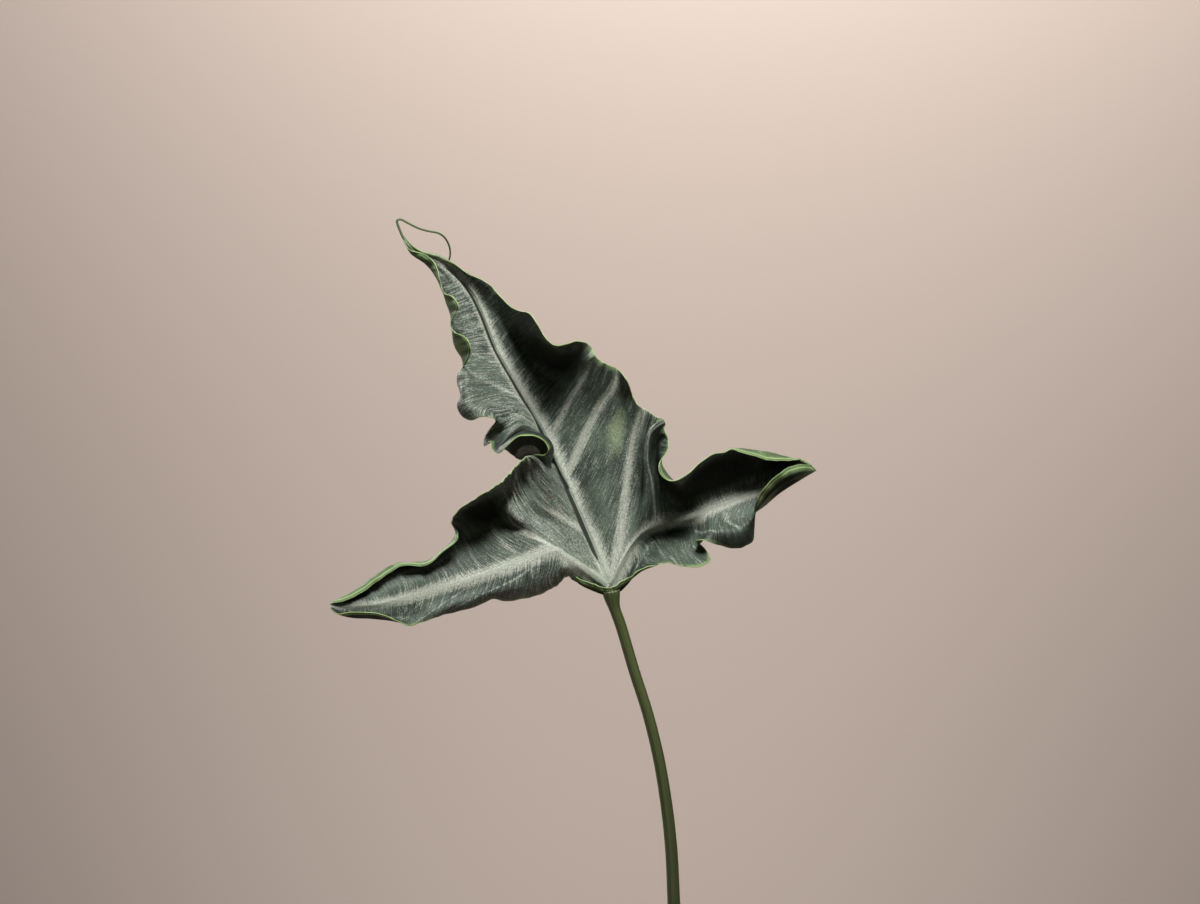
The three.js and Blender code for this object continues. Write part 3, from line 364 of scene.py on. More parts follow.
def smooth_curve(values, at, places=None):
    """Smooth curve: the slope at a point is the mean of the rises beside it, the nearer one counting more."""
    values = np.asarray(values, float)
    places = np.arange(len(values), dtype=float) if places is None else np.asarray(places, float)
    width = np.diff(places).reshape((-1,) + (1,) * (values.ndim - 1))
    rises = np.diff(values, axis=0) / width
    slopes = np.empty_like(values)
    slopes[1:-1] = (rises[:-1] * width[1:] + rises[1:] * width[:-1]) / (width[:-1] + width[1:])
    slopes[0] = 1.5 * rises[0] - 0.5 * slopes[1]
    slopes[-1] = 1.5 * rises[-1] - 0.5 * slopes[-2]
    return cubic_through(values, places, slopes, np.asarray(at, float))


def steady_curve(numbers, at, places):
    """Smooth curve of single numbers that never turns back between two places: the slope is the harmonic
    mean of the rises."""
    numbers, places = np.asarray(numbers, float), np.asarray(places, float)
    rises = np.diff(numbers) / np.diff(places)
    slopes = np.empty_like(numbers)
    slopes[0], slopes[-1] = rises[0], rises[-1]
    total = np.where(rises[:-1] + rises[1:] == 0, 1, rises[:-1] + rises[1:])
    product = rises[:-1] * rises[1:]
    slopes[1:-1] = np.where(product > 0, 2 * product / total, 0)
    return cubic_through(numbers, places, slopes, np.asarray(at, float))


def smoothstep(value, low, high):
    """0 below low, 1 above high, and between them 3 t^2 - 2 t^3."""
    t = np.clip((value - low) / (high - low), 0, 1)
    return t * t * (3 - 2 * t)


def grid_point(drawn):
    """Millimetres of points on the drawing grid, drawn in towards the line of sight by their nearness."""
    drawn = np.asarray(drawn, float)
    near = drawn[..., 2]
    drawn_in = 1 - near / GRID_SIGHT_DISTANCE
    across = GRID_SIGHT[0] + (drawn[..., 0] - GRID_SIGHT[0]) * drawn_in
    down = GRID_SIGHT[1] + (drawn[..., 1] - GRID_SIGHT[1]) * drawn_in
    return np.stack([
        LEAF_BASE[0] + (across - GRID_LEAF_BASE[0]) * GRID_STEP,
        LEAF_BASE[1] - near * GRID_STEP,
        LEAF_BASE[2] + (GRID_LEAF_BASE[1] - down) * GRID_STEP,
    ], axis=-1)


def places_in(bands):
    """Places from the first band's start to the last one's end, evenly spaced within each band."""
    parts = [np.linspace(start, end, steps, endpoint=False) for start, end, steps in bands]
    return np.concatenate(parts + [[bands[-1][1]]])


def columns_in(count):
    """Shares of the way from rib to edge, closer together at both ends: 0.6 t + 0.4 (1 - cos(pi t)) / 2."""
    t = np.linspace(0, 1, count + 1)
    return 0.6 * t + 0.4 * (0.5 - 0.5 * np.cos(math.pi * t))


# Solids from points and triangles

def unit(vectors):
    """The vectors at a length of one."""
    return vectors / np.maximum(np.linalg.norm(vectors, axis=-1, keepdims=True), 1e-12)


def face_normals(points, faces):
    """Normal of each triangle, as long as twice its area."""
    a, b, c = (points[faces[:, k]] for k in range(3))
    return np.cross(b - a, c - a)


def point_normals(points, faces):
    """Normal at each point: the sum of the normals of its faces, larger faces counting more."""
    normals = np.zeros_like(points)
    per_face = face_normals(points, faces)
    for k in range(3):
        np.add.at(normals, faces[:, k], per_face)
    return unit(normals)


def open_edges(faces):
    """Edges that belong to one face only, in the direction in which that face goes round."""
    edges = np.concatenate([faces[:, [0, 1]], faces[:, [1, 2]], faces[:, [2, 0]]])
    size = faces.max() + 1
    key = edges[:, 0] * size + edges[:, 1]
    back = edges[:, 1] * size + edges[:, 0]
    return edges[~np.isin(back, key)]


def grid_triangles(rows, columns, turned=False):
    """Two triangles for each cell of a grid, as numbers of its points counted row by row."""
    number = np.arange(rows * columns).reshape(rows, columns)
    a, b, c, d = number[:-1, :-1], number[1:, :-1], number[1:, 1:], number[:-1, 1:]
    faces = np.concatenate([np.stack([a, b, c], -1).reshape(-1, 3), np.stack([a, c, d], -1).reshape(-1, 3)])
    return faces[:, ::-1] if turned else faces


def ring_triangles(rows, sides):
    """Triangles of a stack of rings. A fan closes each end: the first ring's goes to the point after all the
    rings, the last ring's to the point after that."""
    ring = np.arange(rows * sides).reshape(rows, sides)
    after = np.roll(ring, -1, axis=1)
    a, b, c, d = ring[:-1], after[:-1], after[1:], ring[1:]
    body = [np.stack([a, b, c], -1).reshape(-1, 3), np.stack([a, c, d], -1).reshape(-1, 3)]
    first = np.stack([after[0], ring[0], np.full(sides, rows * sides)], -1)
    last = np.stack([ring[-1], after[-1], np.full(sides, rows * sides + 1)], -1)
    return np.concatenate(body + [first, last])


def circle(sides):
    """Evenly spaced angles of a full turn."""
    return np.linspace(0, 2 * math.pi, sides, endpoint=False)


def round_along(path, radii, sides):
    """Round solid along a path: rings square to it, turned as little as possible, with closed ends."""
    tangents = unit(np.gradient(path, axis=0))
    normal = unit(np.cross(tangents[0], (0.0, 1.0, 0.1)))
    angles = circle(sides)
    rings = []
    for centre, tangent, radius in zip(path, tangents, radii):
        normal = unit(normal - tangent * np.dot(normal, tangent))
        binormal = np.cross(tangent, normal)
        around = np.cos(angles)[:, None] * normal + np.sin(angles)[:, None] * binormal
        rings.append(centre + radius * around)
    points = np.concatenate([np.concatenate(rings), path[:1], path[-1:]])
    return points, ring_triangles(len(path), sides)


def turned_solid(profile, sides, wave=None):
    """Solid turned about the upright axis from a profile [radius, height] that starts and ends on it."""
    profile = np.asarray(profile, float)
    inner = profile[1:-1]
    angles = circle(sides)
    radii = np.repeat(inner[:, :1], sides, axis=1)
    heights = np.repeat(inner[:, 1:], sides, axis=1)
    if wave is not None:
        radii, heights = wave(radii, heights, angles[None, :])
    grid = np.stack([radii * np.cos(angles), radii * np.sin(angles), heights], -1)
    ends = [(0, 0, profile[0, 1])], [(0, 0, profile[-1, 1])]
    return np.concatenate([grid.reshape(-1, 3), *ends]), ring_triangles(len(inner), sides)


def rounded(profile, radius, steps=6):
    """The profile with its inner corners rounded: a quadratic curve from just before to just after each."""
    profile = np.asarray(profile, float)
    out = [profile[0]]
    for before, corner, after in zip(profile[:-2], profile[1:-1], profile[2:]):
        arriving, leaving = before - corner, after - corner
        cut = min(radius, 0.45 * np.linalg.norm(arriving), 0.45 * np.linalg.norm(leaving))
        start = corner + unit(arriving) * cut
        end = corner + unit(leaving) * cut
        t = np.linspace(0, 1, steps)[:, None]
        out.extend((1 - t) ** 2 * start + 2 * t * (1 - t) * corner + t ** 2 * end)
    out.append(profile[-1])
    return np.array(out)


def divided(profile, longest):
    """The profile with its long straight runs divided into steps no longer than a given length."""
    profile = np.asarray(profile, float)
    lengths = np.linalg.norm(np.diff(profile, axis=0), axis=1)
    parts = [np.linspace(start, end, max(1, math.ceil(length / longest)), endpoint=False)
             for start, end, length in zip(profile[:-1], profile[1:], lengths)]
    return np.concatenate(parts + [profile[-1:]])


# The blade

def rib_curve(lobe_rib, places):
    """Midrib up to the leaf base, then the rib of one lobe."""
    first = smooth_curve(MIDRIB, np.minimum(places, RIB_MEETING))
    then = smooth_curve(lobe_rib, np.maximum(places - RIB_MEETING, 0))
    return np.where((places <= RIB_MEETING)[:, None], first, then)


def rib_size(places):
    """Ribs swell from nothing at a tip to full size at the leaf base."""
    to_tip = places / RIB_MEETING
    to_lobe = (LOBE_TIP - places) / (LOBE_TIP - RIB_MEETING)
    return np.where(places <= RIB_MEETING, to_tip, to_lobe)


def lengths_along(points, axis):
    """Distance run along one axis of a grid of points."""
    steps = np.linalg.norm(np.diff(points, axis=axis), axis=-1)
    zero = np.zeros_like(np.take(steps, [0], axis=axis))
    return np.concatenate([zero, np.cumsum(steps, axis=axis)], axis=axis)


def edge_crinkle(places, columns):
    """Small uneven waves of the outer third of a strip, in grid steps: three sines along the rib whose sum
    swells towards the edge; it moves points mostly towards the viewer and back."""
    before_lobe_tip = 1 - smoothstep(places, 23.5, 24.8)
    swell = smoothstep(columns, 0.62, 1.0) * smoothstep(places, 1.5, 4) * before_lobe_tip
    near = np.sin(7.3 * places + 0.6) + 0.7 * np.sin(12.9 * places + 2.1) + 0.4 * np.sin(21.0 * places)
    down = np.sin(5.7 * places + 1.9) + 0.6 * np.sin(14.3 * places + 0.4)
    return np.stack([0.3 * swell * down, 0.35 * swell * down, 0.9 * swell * near], -1)


def across_rib(places, from_rib):
    """How far from a rib a point lies, in widths of the rib's smooth pale crest: 0.6 mm wide near the leaf's
    tip, 1.8 mm at the leaf base and 0.35 mm along the lobes."""
    midrib_width = 0.6 + 1.2 * np.clip(places / RIB_MEETING, 0, 1) ** 2
    lobe_width = 0.35 + 1.45 * np.clip(1 - (places - RIB_MEETING) / 2.5, 0, 1)
    return from_rib / np.where(places < RIB_MEETING, midrib_width, lobe_width)


def across_groove(name, places, from_rib):
    """Where a point lies across the shaded groove beside the midrib's left side, in half widths from the
    groove's middle. The groove is 1 mm wide near the tip, 7 mm at four fifths of the midrib and 3.5 mm at the
    leaf base, where it ends; past both ends, and on the other strips, the value is far from zero."""
    if name != "left_outer":
        return np.full(np.broadcast(places, from_rib).shape, -OUTSIDE_GROOVE)
    share = np.clip(places / RIB_MEETING, 0, 1)
    narrowing = 1 - 0.75 * smoothstep(share, 0.84, 1.0)
    half = 0.5 + 0.6 * share + 2.6 * smoothstep(share, 0.66, 0.77) * narrowing
    across = np.clip((from_rib - 0.35 - 0.85 * half) / half, -OUTSIDE_GROOVE, OUTSIDE_GROOVE)
    ends = smoothstep(places, 13.4, 14.0) + 1 - smoothstep(places, 1.5, 4)
    return across + OUTSIDE_GROOVE * ends * np.where(across < 0, -1, 1)


def veins_and_silver(name, places, columns, place_width):
    """Height of the side veins and share of silver. Both fall off from a vein's course as exp(-d^2) of the
    distance d in widths, and towards the edge; the whole left half has some silver all over, as painted
    sheen."""
    vein = np.zeros(place_width.shape)
    silver = np.zeros(place_width.shape)
    for half_width, strength, course in VEINS[name]:
        course = np.asarray(course, float)
        distance = np.abs(places[:, None] - np.interp(columns, course[:, 0], course[:, 1])) * place_width
        ridge = strength * (1 - 0.55 * columns) * np.exp(-(distance / VEIN_RIDGE) ** 2)
        band = strength * np.exp(-(distance / (half_width * (1.25 - 0.5 * columns))) ** 2)
        vein = np.maximum(vein, ridge)
        silver = np.maximum(silver, band * (1 - 0.3 * columns))
    silver_and_painted_sheen = SILVER_AND_PAINTED_SHEEN[name] * smoothstep(places, 1, 5) * (1 - 0.8 * smoothstep(places, 16, 21))
    return vein, np.maximum(silver, silver_and_painted_sheen[:, None] * (1 - 0.4 * columns))


def patches(name, places, columns):
    """Sum of a strip's paler patches and its patches of painted shade, each its amount times exp(-r^3), with
    r in half widths.
    """
    patch = np.zeros((len(places), len(columns)))
    for place, share, wide, broad, amount in PALE_PATCHES_AND_PAINTED_SHADE[name]:
        away = ((places[:, None] - place) / wide) ** 2 + ((columns - share) / broad) ** 2
        patch = patch + amount * np.exp(-away ** 1.5)
    return patch


def blade_strip(name, places, columns):
    """One strip from a rib to an edge. Rows of points run along it, from the rib through the rows of the
    stations to the edge; across it, a smooth curve passes through the rows."""
    lobe_rib, edge, stations, row_places = STRIPS[name][:4]
    stations_at = [station[0] for station in stations]
    edge_places = steady_curve([station[1] for station in stations], places, stations_at)
    rib = rib_curve(lobe_rib, places)
    rows = [rib]
    for k in range(2, len(stations[0])):
        rows.append(smooth_curve([station[k] for station in stations], places, stations_at))
    rows.append(smooth_curve(edge, edge_places))
    drawn = np.swapaxes(smooth_curve(np.stack(rows), columns, row_places), 0, 1)
    points = grid_point(drawn + edge_crinkle(places[:, None], columns))
    from_rib = lengths_along(points, 1)
    along = np.gradient(points, places, axis=0)
    over = np.gradient(points, columns, axis=1)
    over_length = np.maximum(np.linalg.norm(over, axis=-1), 1e-6)
    place_width = np.linalg.norm(np.cross(along, over), axis=-1) / over_length
    vein, silver = veins_and_silver(name, places, columns, place_width)
    patch = patches(name, places, columns)
    run = lengths_along(grid_point(rib)[:, None, :], 0)
    return {
        "points": points,
        "from_rib": from_rib,
        "from_edge": from_rib[:, -1:] - from_rib,
        "vein": vein,
        # painted shade also takes the silver away
        "silver": silver * np.clip(1 + 1.2 * patch, 0, 1),
        "rib_size": np.broadcast_to(rib_size(places)[:, None], vein.shape),
        "groove_with_painted_shade": across_groove(name, places[:, None], from_rib),
        "patch": patch,
        "across_rib": across_rib(places[:, None], from_rib),
        "run": np.broadcast_to(run, vein.shape),
    }


def blade_sheet():
    """The four strips as one sheet: points in the same place are made one, faces towards the viewer."""
    fields = {name: [] for name in ("points", "run", "side") + POINT_FIELDS}
    faces, count = [], 0
    for name, (*_, side) in STRIPS.items():
        half, part = name.split("_")
        places = places_in(MIDRIB_STEPS + LOBE_STEPS[half])
        if part == "inner":
            places = places[places >= RIB_MEETING]
        columns = columns_in(OUTER_COLUMNS if part == "outer" else INNER_COLUMNS)
        strip = blade_strip(name, places, columns)
        strip["side"] = np.full(strip["vein"].shape, float(side))
        faces.append(grid_triangles(len(places), len(columns), turned=side < 0) + count)
        count += strip["vein"].size
        for field, values in fields.items():
            values.append(strip[field].reshape(strip["vein"].size, -1))
    joined = {field: np.concatenate(values) for field, values in fields.items()}
    keys = np.round(joined["points"], 3)
    _, first, which = np.unique(keys, axis=0, return_index=True, return_inverse=True)
    faces = which.reshape(-1)[np.concatenate(faces)]
    sheet = {field: values[first] for field, values in joined.items()}
    whole = (faces[:, 0] != faces[:, 1]) & (faces[:, 1] != faces[:, 2]) & (faces[:, 2] != faces[:, 0])
    sheet["faces"] = faces[whole]
    return sheet


def offset_points(points, faces, normals, heights, direction):
    """One face of the solid round a sheet. Where a triangle would turn over, its corners come closer."""
    heights = np.maximum(heights, LEAST_HALF_BLADE)
    before = unit(face_normals(points, faces))
    for _ in range(14):
        moved = points + direction * heights[:, None] * normals
        turning = np.sum(unit(face_normals(moved, faces)) * before, axis=1) < 0.5
        tight = np.unique(faces[turning])
        heights[tight] = np.maximum(heights[tight] * 0.82, LEAST_HALF_BLADE)
    return points + direction * heights[:, None] * normals


def blade_heights(sheet, sizes):
    """How far the blade's two faces stand from the sheet, and its plain half thickness. The upper face has
    the raised midrib beside its groove and sunken side veins, the under face raised ribs and veins."""
    from_rib, size, side, vein = (sheet[name][:, 0] for name in ("from_rib", "rib_size", "side", "vein"))
    width = sizes.rib_width * 1000 * (0.35 + 0.65 * size)
    half = sizes.blade_thickness * 500 * smoothstep(sheet["from_edge"][:, 0], -2, 2.5)
    middle = np.where(side > 0, 0.4, 0.0) * width
    ridge = np.exp(-(((from_rib - middle) / (0.5 * width)) ** 2)) * np.where(side > 0, 1.0, 0.7)
    groove_with_painted_shade = 0.6 * np.exp(-sheet["groove_with_painted_shade"][:, 0] ** 4)
    above = half + sizes.rib_rise * 1000 * (size * ridge - groove_with_painted_shade) - sizes.vein_depth * 1000 * vein
    round_rib = np.sqrt(np.clip(1 - (from_rib / width) ** 2, 0, 1))
    under = half + sizes.rib_depth * 1000 * size * round_rib + 1.3 * sizes.vein_depth * 1000 * vein
    return above, under, half


def blade_solid(sizes):
    """Closed solid round the sheet: its upper and its under face, and an edge rounded by a middle ring a
    little further out."""
    sheet = blade_sheet()
    points, faces = sheet["points"], sheet["faces"]
    normals = point_normals(points, faces)
    above, under, half = blade_heights(sheet, sizes)
    front = offset_points(points, faces, normals, above, 1)
    back = offset_points(points, faces, normals, under, -1)
    edges = open_edges(faces)
    outward = np.zeros_like(points)
    sideways = np.cross(points[edges[:, 1]] - points[edges[:, 0]], normals[edges[:, 0]])
    for k in range(2):
        np.add.at(outward, edges[:, k], sideways)
    ring_of, ring_edges = np.unique(edges, return_inverse=True)
    ring = (front[ring_of] + back[ring_of]) / 2 + 0.5 * half[ring_of, None] * unit(outward[ring_of])
    count = len(points)
    start, end = edges.T
    start_ring, end_ring = ring_edges.reshape(-1, 2).T + 2 * count
    wall = [
        (end, start, start_ring), (end, start_ring, end_ring),
        (end_ring, start_ring, start + count), (end_ring, start + count, end + count),
    ]
    triangles = np.concatenate([faces, faces[:, ::-1] + count] + [np.stack(three, -1) for three in wall])
    slots = np.repeat([0, 1, 2], [len(faces), len(faces), 4 * len(edges)])
    attributes = {
        name: np.concatenate([sheet[name][:, 0], sheet[name][:, 0], sheet[name][ring_of, 0]])
        for name in POINT_FIELDS
    }
    # the under face has painted shade only in the folds that curl round to face the front
    attributes["patch"][count:2 * count] *= smoothstep(normals[:, 1], -0.2, 0.2)
    uv = np.stack([sheet["run"][:, 0], sheet["side"][:, 0] * sheet["from_rib"][:, 0]], -1)
    all_points, all_uv = np.concatenate([front, back, ring]), np.concatenate([uv, uv, uv[ring_of]])
    return all_points, triangles, slots, attributes, all_uv


def speck_place(strip, place, across):
    """Place of a speck on the blade's own surface coordinates: millimetres along the rib and away from it."""
    drawn = blade_strip(strip, np.linspace(0, LOBE_TIP, 60 * LOBE_TIP + 1), np.linspace(0, 1, 101))
    i, j = int(round(place * 60)), int(round(across * 100))
    return (float(drawn["run"][i, j]), STRIPS[strip][4] * float(drawn["from_rib"][i, j]), 0.0)


# Meshes and materials

def make_piece(name, points, triangles, materials, slots=None, attributes=None, uv=None):
    """A mesh object at the origin from points in millimetres, smooth-shaded, riding on the part's body."""
    mesh = bpy.data.meshes.new(name)
    mesh.vertices.add(len(points))
    mesh.vertices.foreach_set("co", (np.asarray(points) / 1000).astype(np.float32).ravel())
    mesh.loops.add(len(triangles) * 3)
    mesh.loops.foreach_set("vertex_index", np.asarray(triangles, np.int32).ravel())
    mesh.polygons.add(len(triangles))
    mesh.polygons.foreach_set("loop_start", np.arange(0, len(triangles) * 3, 3, dtype=np.int32))
    mesh.update(calc_edges=True)
    for material in materials:
        mesh.materials.append(material)
    if slots is not None:
        mesh.polygons.foreach_set("material_index", np.asarray(slots, np.int32))
    for field, values in (attributes or {}).items():
        layer = mesh.attributes.new(field, "FLOAT", "POINT")
        layer.data.foreach_set("value", np.asarray(values, np.float32))
    if uv is not None:
        layer = mesh.uv_layers.new(name="surface")
        layer.data.foreach_set("uv", np.asarray(uv, np.float32)[np.asarray(triangles).ravel()].ravel())
    mesh.shade_smooth()
    mesh.validate()
    piece = bpy.data.objects.new(name, mesh)
    bpy.context.scene.collection.objects.link(piece)
    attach(piece, "root")
    return piece


def linear(hex_colour):
    """Linear RGBA of an sRGB colour such as #8fa08a: each channel by the sRGB transfer curve."""
    channels = [int(hex_colour[i:i + 2], 16) / 255 for i in (1, 3, 5)]
    return tuple(c / 12.92 if c <= 0.04045 else ((c + 0.055) / 1.055) ** 2.4 for c in channels) + (1.0,)


def set_sockets(node, sockets):
    """Gives inputs of a node a value of their own, or a link from another node's output."""
    for name, value in sockets.items():
        if isinstance(value, bpy.types.NodeSocket):
            node.id_data.links.new(value, node.inputs[name])
        else:
            node.inputs[name].default_value = value


def add_node(tree, kind, sockets=None, output=0, **settings):
    """Adds a shader node with its own settings and its inputs, and returns one of its outputs."""
    made = tree.nodes.new("ShaderNode" + kind)
    for name, value in settings.items():
        setattr(made, name, value)
    set_sockets(made, sockets or {})
    return made.outputs[output]


def new_material(name):
    """An empty material: its node tree, and the one shader that it ends in."""
    material = bpy.data.materials.new(name)
    material.use_nodes = True
    tree = material.node_tree
    tree.nodes.clear()
    surface = add_node(tree, "BsdfPrincipled")
    tree.links.new(surface, tree.nodes.new("ShaderNodeOutputMaterial").inputs["Surface"])
    return material, tree, surface.node


def upper_epidermis(colours):
    """Upper face of the leaf. Waxy satin skin, dark blue-green between the veins, with silver along them
    that frays into fine streaks towards the edge; the skin's cells give it a fine frosted grain."""
    material, tree, shader = new_material("alocasia_upper_epidermis")
    place = add_node(tree, "UVMap", uv_map="surface")
    solid = add_node(tree, "TexCoord", output="Object")
    silver, from_rib, from_edge, rib_size_here, groove_with_painted_shade, patch, across_rib_here = (
        add_node(tree, "Attribute", output="Fac", attribute_name=name)
        for name in ("silver", "from_rib", "from_edge", "rib_size", "groove_with_painted_shade", "patch", "across_rib"))
    # streaks 0.6 mm apart that run 12 mm from the rib towards the edge
    drawn_out = add_node(tree, "Mapping", {"Vector": place, "Scale": (1.7, 0.085, 1)})
    streak = add_node(tree, "TexNoise", {
        "Vector": drawn_out, "Scale": 1.0, "Detail": 5.0, "Roughness": 0.72, "Distortion": 0.3})
    # frosted grain 0.7 mm across, coarser than the real cells so that it shows
    grain = add_node(tree, "TexNoise", {"Vector": solid, "Scale": 1450.0, "Detail": 4.0, "Roughness": 0.7})
    # clouds 14 mm across
    cloud = add_node(tree, "TexNoise", {"Vector": solid, "Scale": 70.0, "Detail": 3.0})
    # width of the silver beside a rib, 2 mm near a tip and 8 mm near the leaf base
    reach = add_node(tree, "MapRange", {"Value": rib_size_here, "To Min": 2.0, "To Max": 8.0})
    share = add_node(tree, "Math", {0: from_rib, 1: reach}, operation="DIVIDE")
    beside_rib = add_node(tree, "MapRange", {
        "Value": share, "From Min": 0.1, "From Max": 1.3, "To Min": 1.0, "To Max": 0.0,
    }, interpolation_type="SMOOTHSTEP")
    most = add_node(tree, "Math", {0: silver, 1: beside_rib}, operation="MAXIMUM")
    frayed = add_node(tree, "Math", {0: streak, 1: 2.8, 2: most}, operation="MULTIPLY_ADD")
    frosted = add_node(tree, "Math", {0: grain, 1: 1.3, 2: frayed}, operation="MULTIPLY_ADD")
    silvered = add_node(tree, "MapRange", {
        "Value": frosted, "From Min": 1.96, "From Max": 3.0, "To Max": 0.9,
    }, interpolation_type="SMOOTHSTEP")
    mottle = add_node(tree, "MapRange", {"Value": cloud, "From Min": 0.36, "From Max": 0.64})
    frosting = add_node(tree, "MapRange", {"Value": grain, "From Min": 0.25, "From Max": 0.72})
    wax = add_node(tree, "Mix", {
        0: frosting, 6: colours.silver_shade, 7: colours.silver}, output=2, data_type="RGBA")
    # painted shade in the folds, and a pale patch on the right half
    painted_shade_amount = add_node(tree, "MapRange", {"Value": patch, "From Min": -0.15, "From Max": -0.9, "To Max": 0.95})
    speckled = add_node(tree, "Math", {0: patch, 1: grain}, operation="MULTIPLY")
    pale = add_node(tree, "MapRange", {"Value": speckled, "From Min": 0.08, "From Max": 0.34, "To Max": 0.75})
    # the raised rib itself is a paler green, and the groove beside it has painted shade
    on_rib = add_node(tree, "MapRange", {
        "Value": across_rib_here, "From Min": 0.6, "From Max": 1.2, "To Min": 0.5, "To Max": 0.0})
    from_middle = add_node(tree, "Math", {0: groove_with_painted_shade}, operation="ABSOLUTE")
    in_painted_groove_shade = add_node(tree, "MapRange", {
        "Value": from_middle, "From Min": 0.7, "From Max": 1.3, "To Min": 0.97, "To Max": 0.0})
    # green band along the edge, fading out over 1.8 mm, that comes and goes every 14 mm
    at_edge = add_node(tree, "MapRange", {
        "Value": from_edge, "From Min": 0.2, "From Max": 1.8, "To Min": 0.8, "To Max": 0.0})
    broken = add_node(tree, "MapRange", {
        "Value": cloud, "From Min": 0.42, "From Max": 0.58, "To Min": 0.15, "To Max": 1.0})
    on_edge = add_node(tree, "Math", {0: at_edge, 1: broken}, operation="MULTIPLY")
    layers = [
        (mottle, colours.panel_light), (silvered, wax), (painted_shade_amount, colours.painted_fold_shade), (pale, colours.pale),
        (on_rib, colours.rib), (in_painted_groove_shade, colours.groove_with_painted_shade), (on_edge, colours.margin_dark),
    ]
    for name, (radius, *speck) in SPECKS.items():
        away = add_node(tree, "VectorMath", {
            0: place, 1: speck_place(*speck)}, output="Value", operation="DISTANCE")
        on_speck = add_node(tree, "MapRange", {
            "Value": away, "From Min": radius * 0.6, "From Max": radius, "To Min": 0.85, "To Max": 0.0})
        layers.append((on_speck, getattr(colours, name)))
    skin = colours.panel
    for amount, colour in layers:
        skin = add_node(tree, "Mix", {0: amount, 6: skin, 7: colour}, output=2, data_type="RGBA")
    satin = add_node(tree, "MapRange", {
        "Value": grain, "From Min": 0.3, "From Max": 0.7, "To Min": 0.38, "To Max": 0.6})
    dull = add_node(tree, "Math", {0: satin, 1: painted_shade_amount}, operation="MAXIMUM")
    # puckers 6 mm across between the small veins
    pucker = add_node(tree, "TexNoise", {"Vector": solid, "Scale": 170.0, "Detail": 2.0})
    combed = add_node(tree, "Math", {0: streak, 1: 4.0, 2: grain}, operation="MULTIPLY_ADD")
    relief = add_node(tree, "Math", {0: pucker, 1: 5.0, 2: combed}, operation="MULTIPLY_ADD")
    bump = add_node(tree, "Bump", {"Height": relief, "Strength": 0.35, "Distance": 0.0004})
    set_sockets(shader, {
        "Base Color": skin, "Roughness": dull, "IOR": 1.45, "Specular IOR Level": 0.35, "Normal": bump})
    return material


def lower_epidermis(colours):
    """Under face of the leaf: matt pale green skin with paler raised veins, and painted shade in its folds.
    """
    material, tree, shader = new_material("alocasia_lower_epidermis")
    place = add_node(tree, "UVMap", uv_map="surface")
    vein, from_edge, patch = (add_node(tree, "Attribute", output="Fac", attribute_name=name)
                              for name in ("vein", "from_edge", "patch"))
    # streaks 1.2 mm apart that run 10 mm from the rib towards the edge
    drawn_out = add_node(tree, "Mapping", {"Vector": place, "Scale": (0.8, 0.1, 1)})
    streak = add_node(tree, "TexNoise", {"Vector": drawn_out, "Scale": 1.0, "Detail": 4.0, "Roughness": 0.6})
    tone = add_node(tree, "MapRange", {"Value": streak, "From Min": 0.3, "From Max": 0.7})
    # painted shade in the folds that curl round to face the front
    painted_shade_amount = add_node(tree, "MapRange", {"Value": patch, "From Min": -0.15, "From Max": -0.9, "To Max": 0.95})
    # green band that fades out between 1.8 and 3.2 mm from the edge
    in_band = add_node(tree, "MapRange", {
        "Value": from_edge, "From Min": 1.8, "From Max": 3.2, "To Min": 0.75, "To Max": 0.0})
    # pale line 0.5 mm wide that runs 1.3 mm inside the edge
    from_line = add_node(tree, "Math", {0: from_edge, 1: 1.3}, operation="SUBTRACT")
    aside = add_node(tree, "Math", {0: from_line}, operation="ABSOLUTE")
    on_line = add_node(tree, "MapRange", {
        "Value": aside, "From Min": 0.15, "From Max": 0.35, "To Min": 0.6, "To Max": 0.0})
    skin = colours.under
    for amount, colour in ((tone, colours.under_light), (vein, colours.margin), (painted_shade_amount, colours.painted_fold_shade),
                           (in_band, colours.under_light), (on_line, colours.margin)):
        skin = add_node(tree, "Mix", {0: amount, 6: skin, 7: colour}, output=2, data_type="RGBA")
    dull = add_node(tree, "Math", {0: 0.6, 1: painted_shade_amount}, operation="MAXIMUM")
    bump = add_node(tree, "Bump", {"Height": streak, "Strength": 0.3, "Distance": 0.0005})
    set_sockets(shader, {"Base Color": skin, "Roughness": dull, "Specular IOR Level": 0.2, "Normal": bump})
    return material


def leaf_margin(colours):
    """Cut face of the leaf's edge: a clear band of pale, slightly shiny tissue, darker every 8 mm or so."""
    material, tree, shader = new_material("alocasia_leaf_margin")
    solid = add_node(tree, "TexCoord", output="Object")
    tone = add_node(tree, "TexNoise", {"Vector": solid, "Scale": 130.0, "Detail": 2.0})
    colour = add_node(tree, "Mix", {
        0: tone, 6: colours.margin_dark, 7: colours.margin}, output=2, data_type="RGBA")
    set_sockets(shader, {"Base Color": colour, "Roughness": 0.42})
    return material


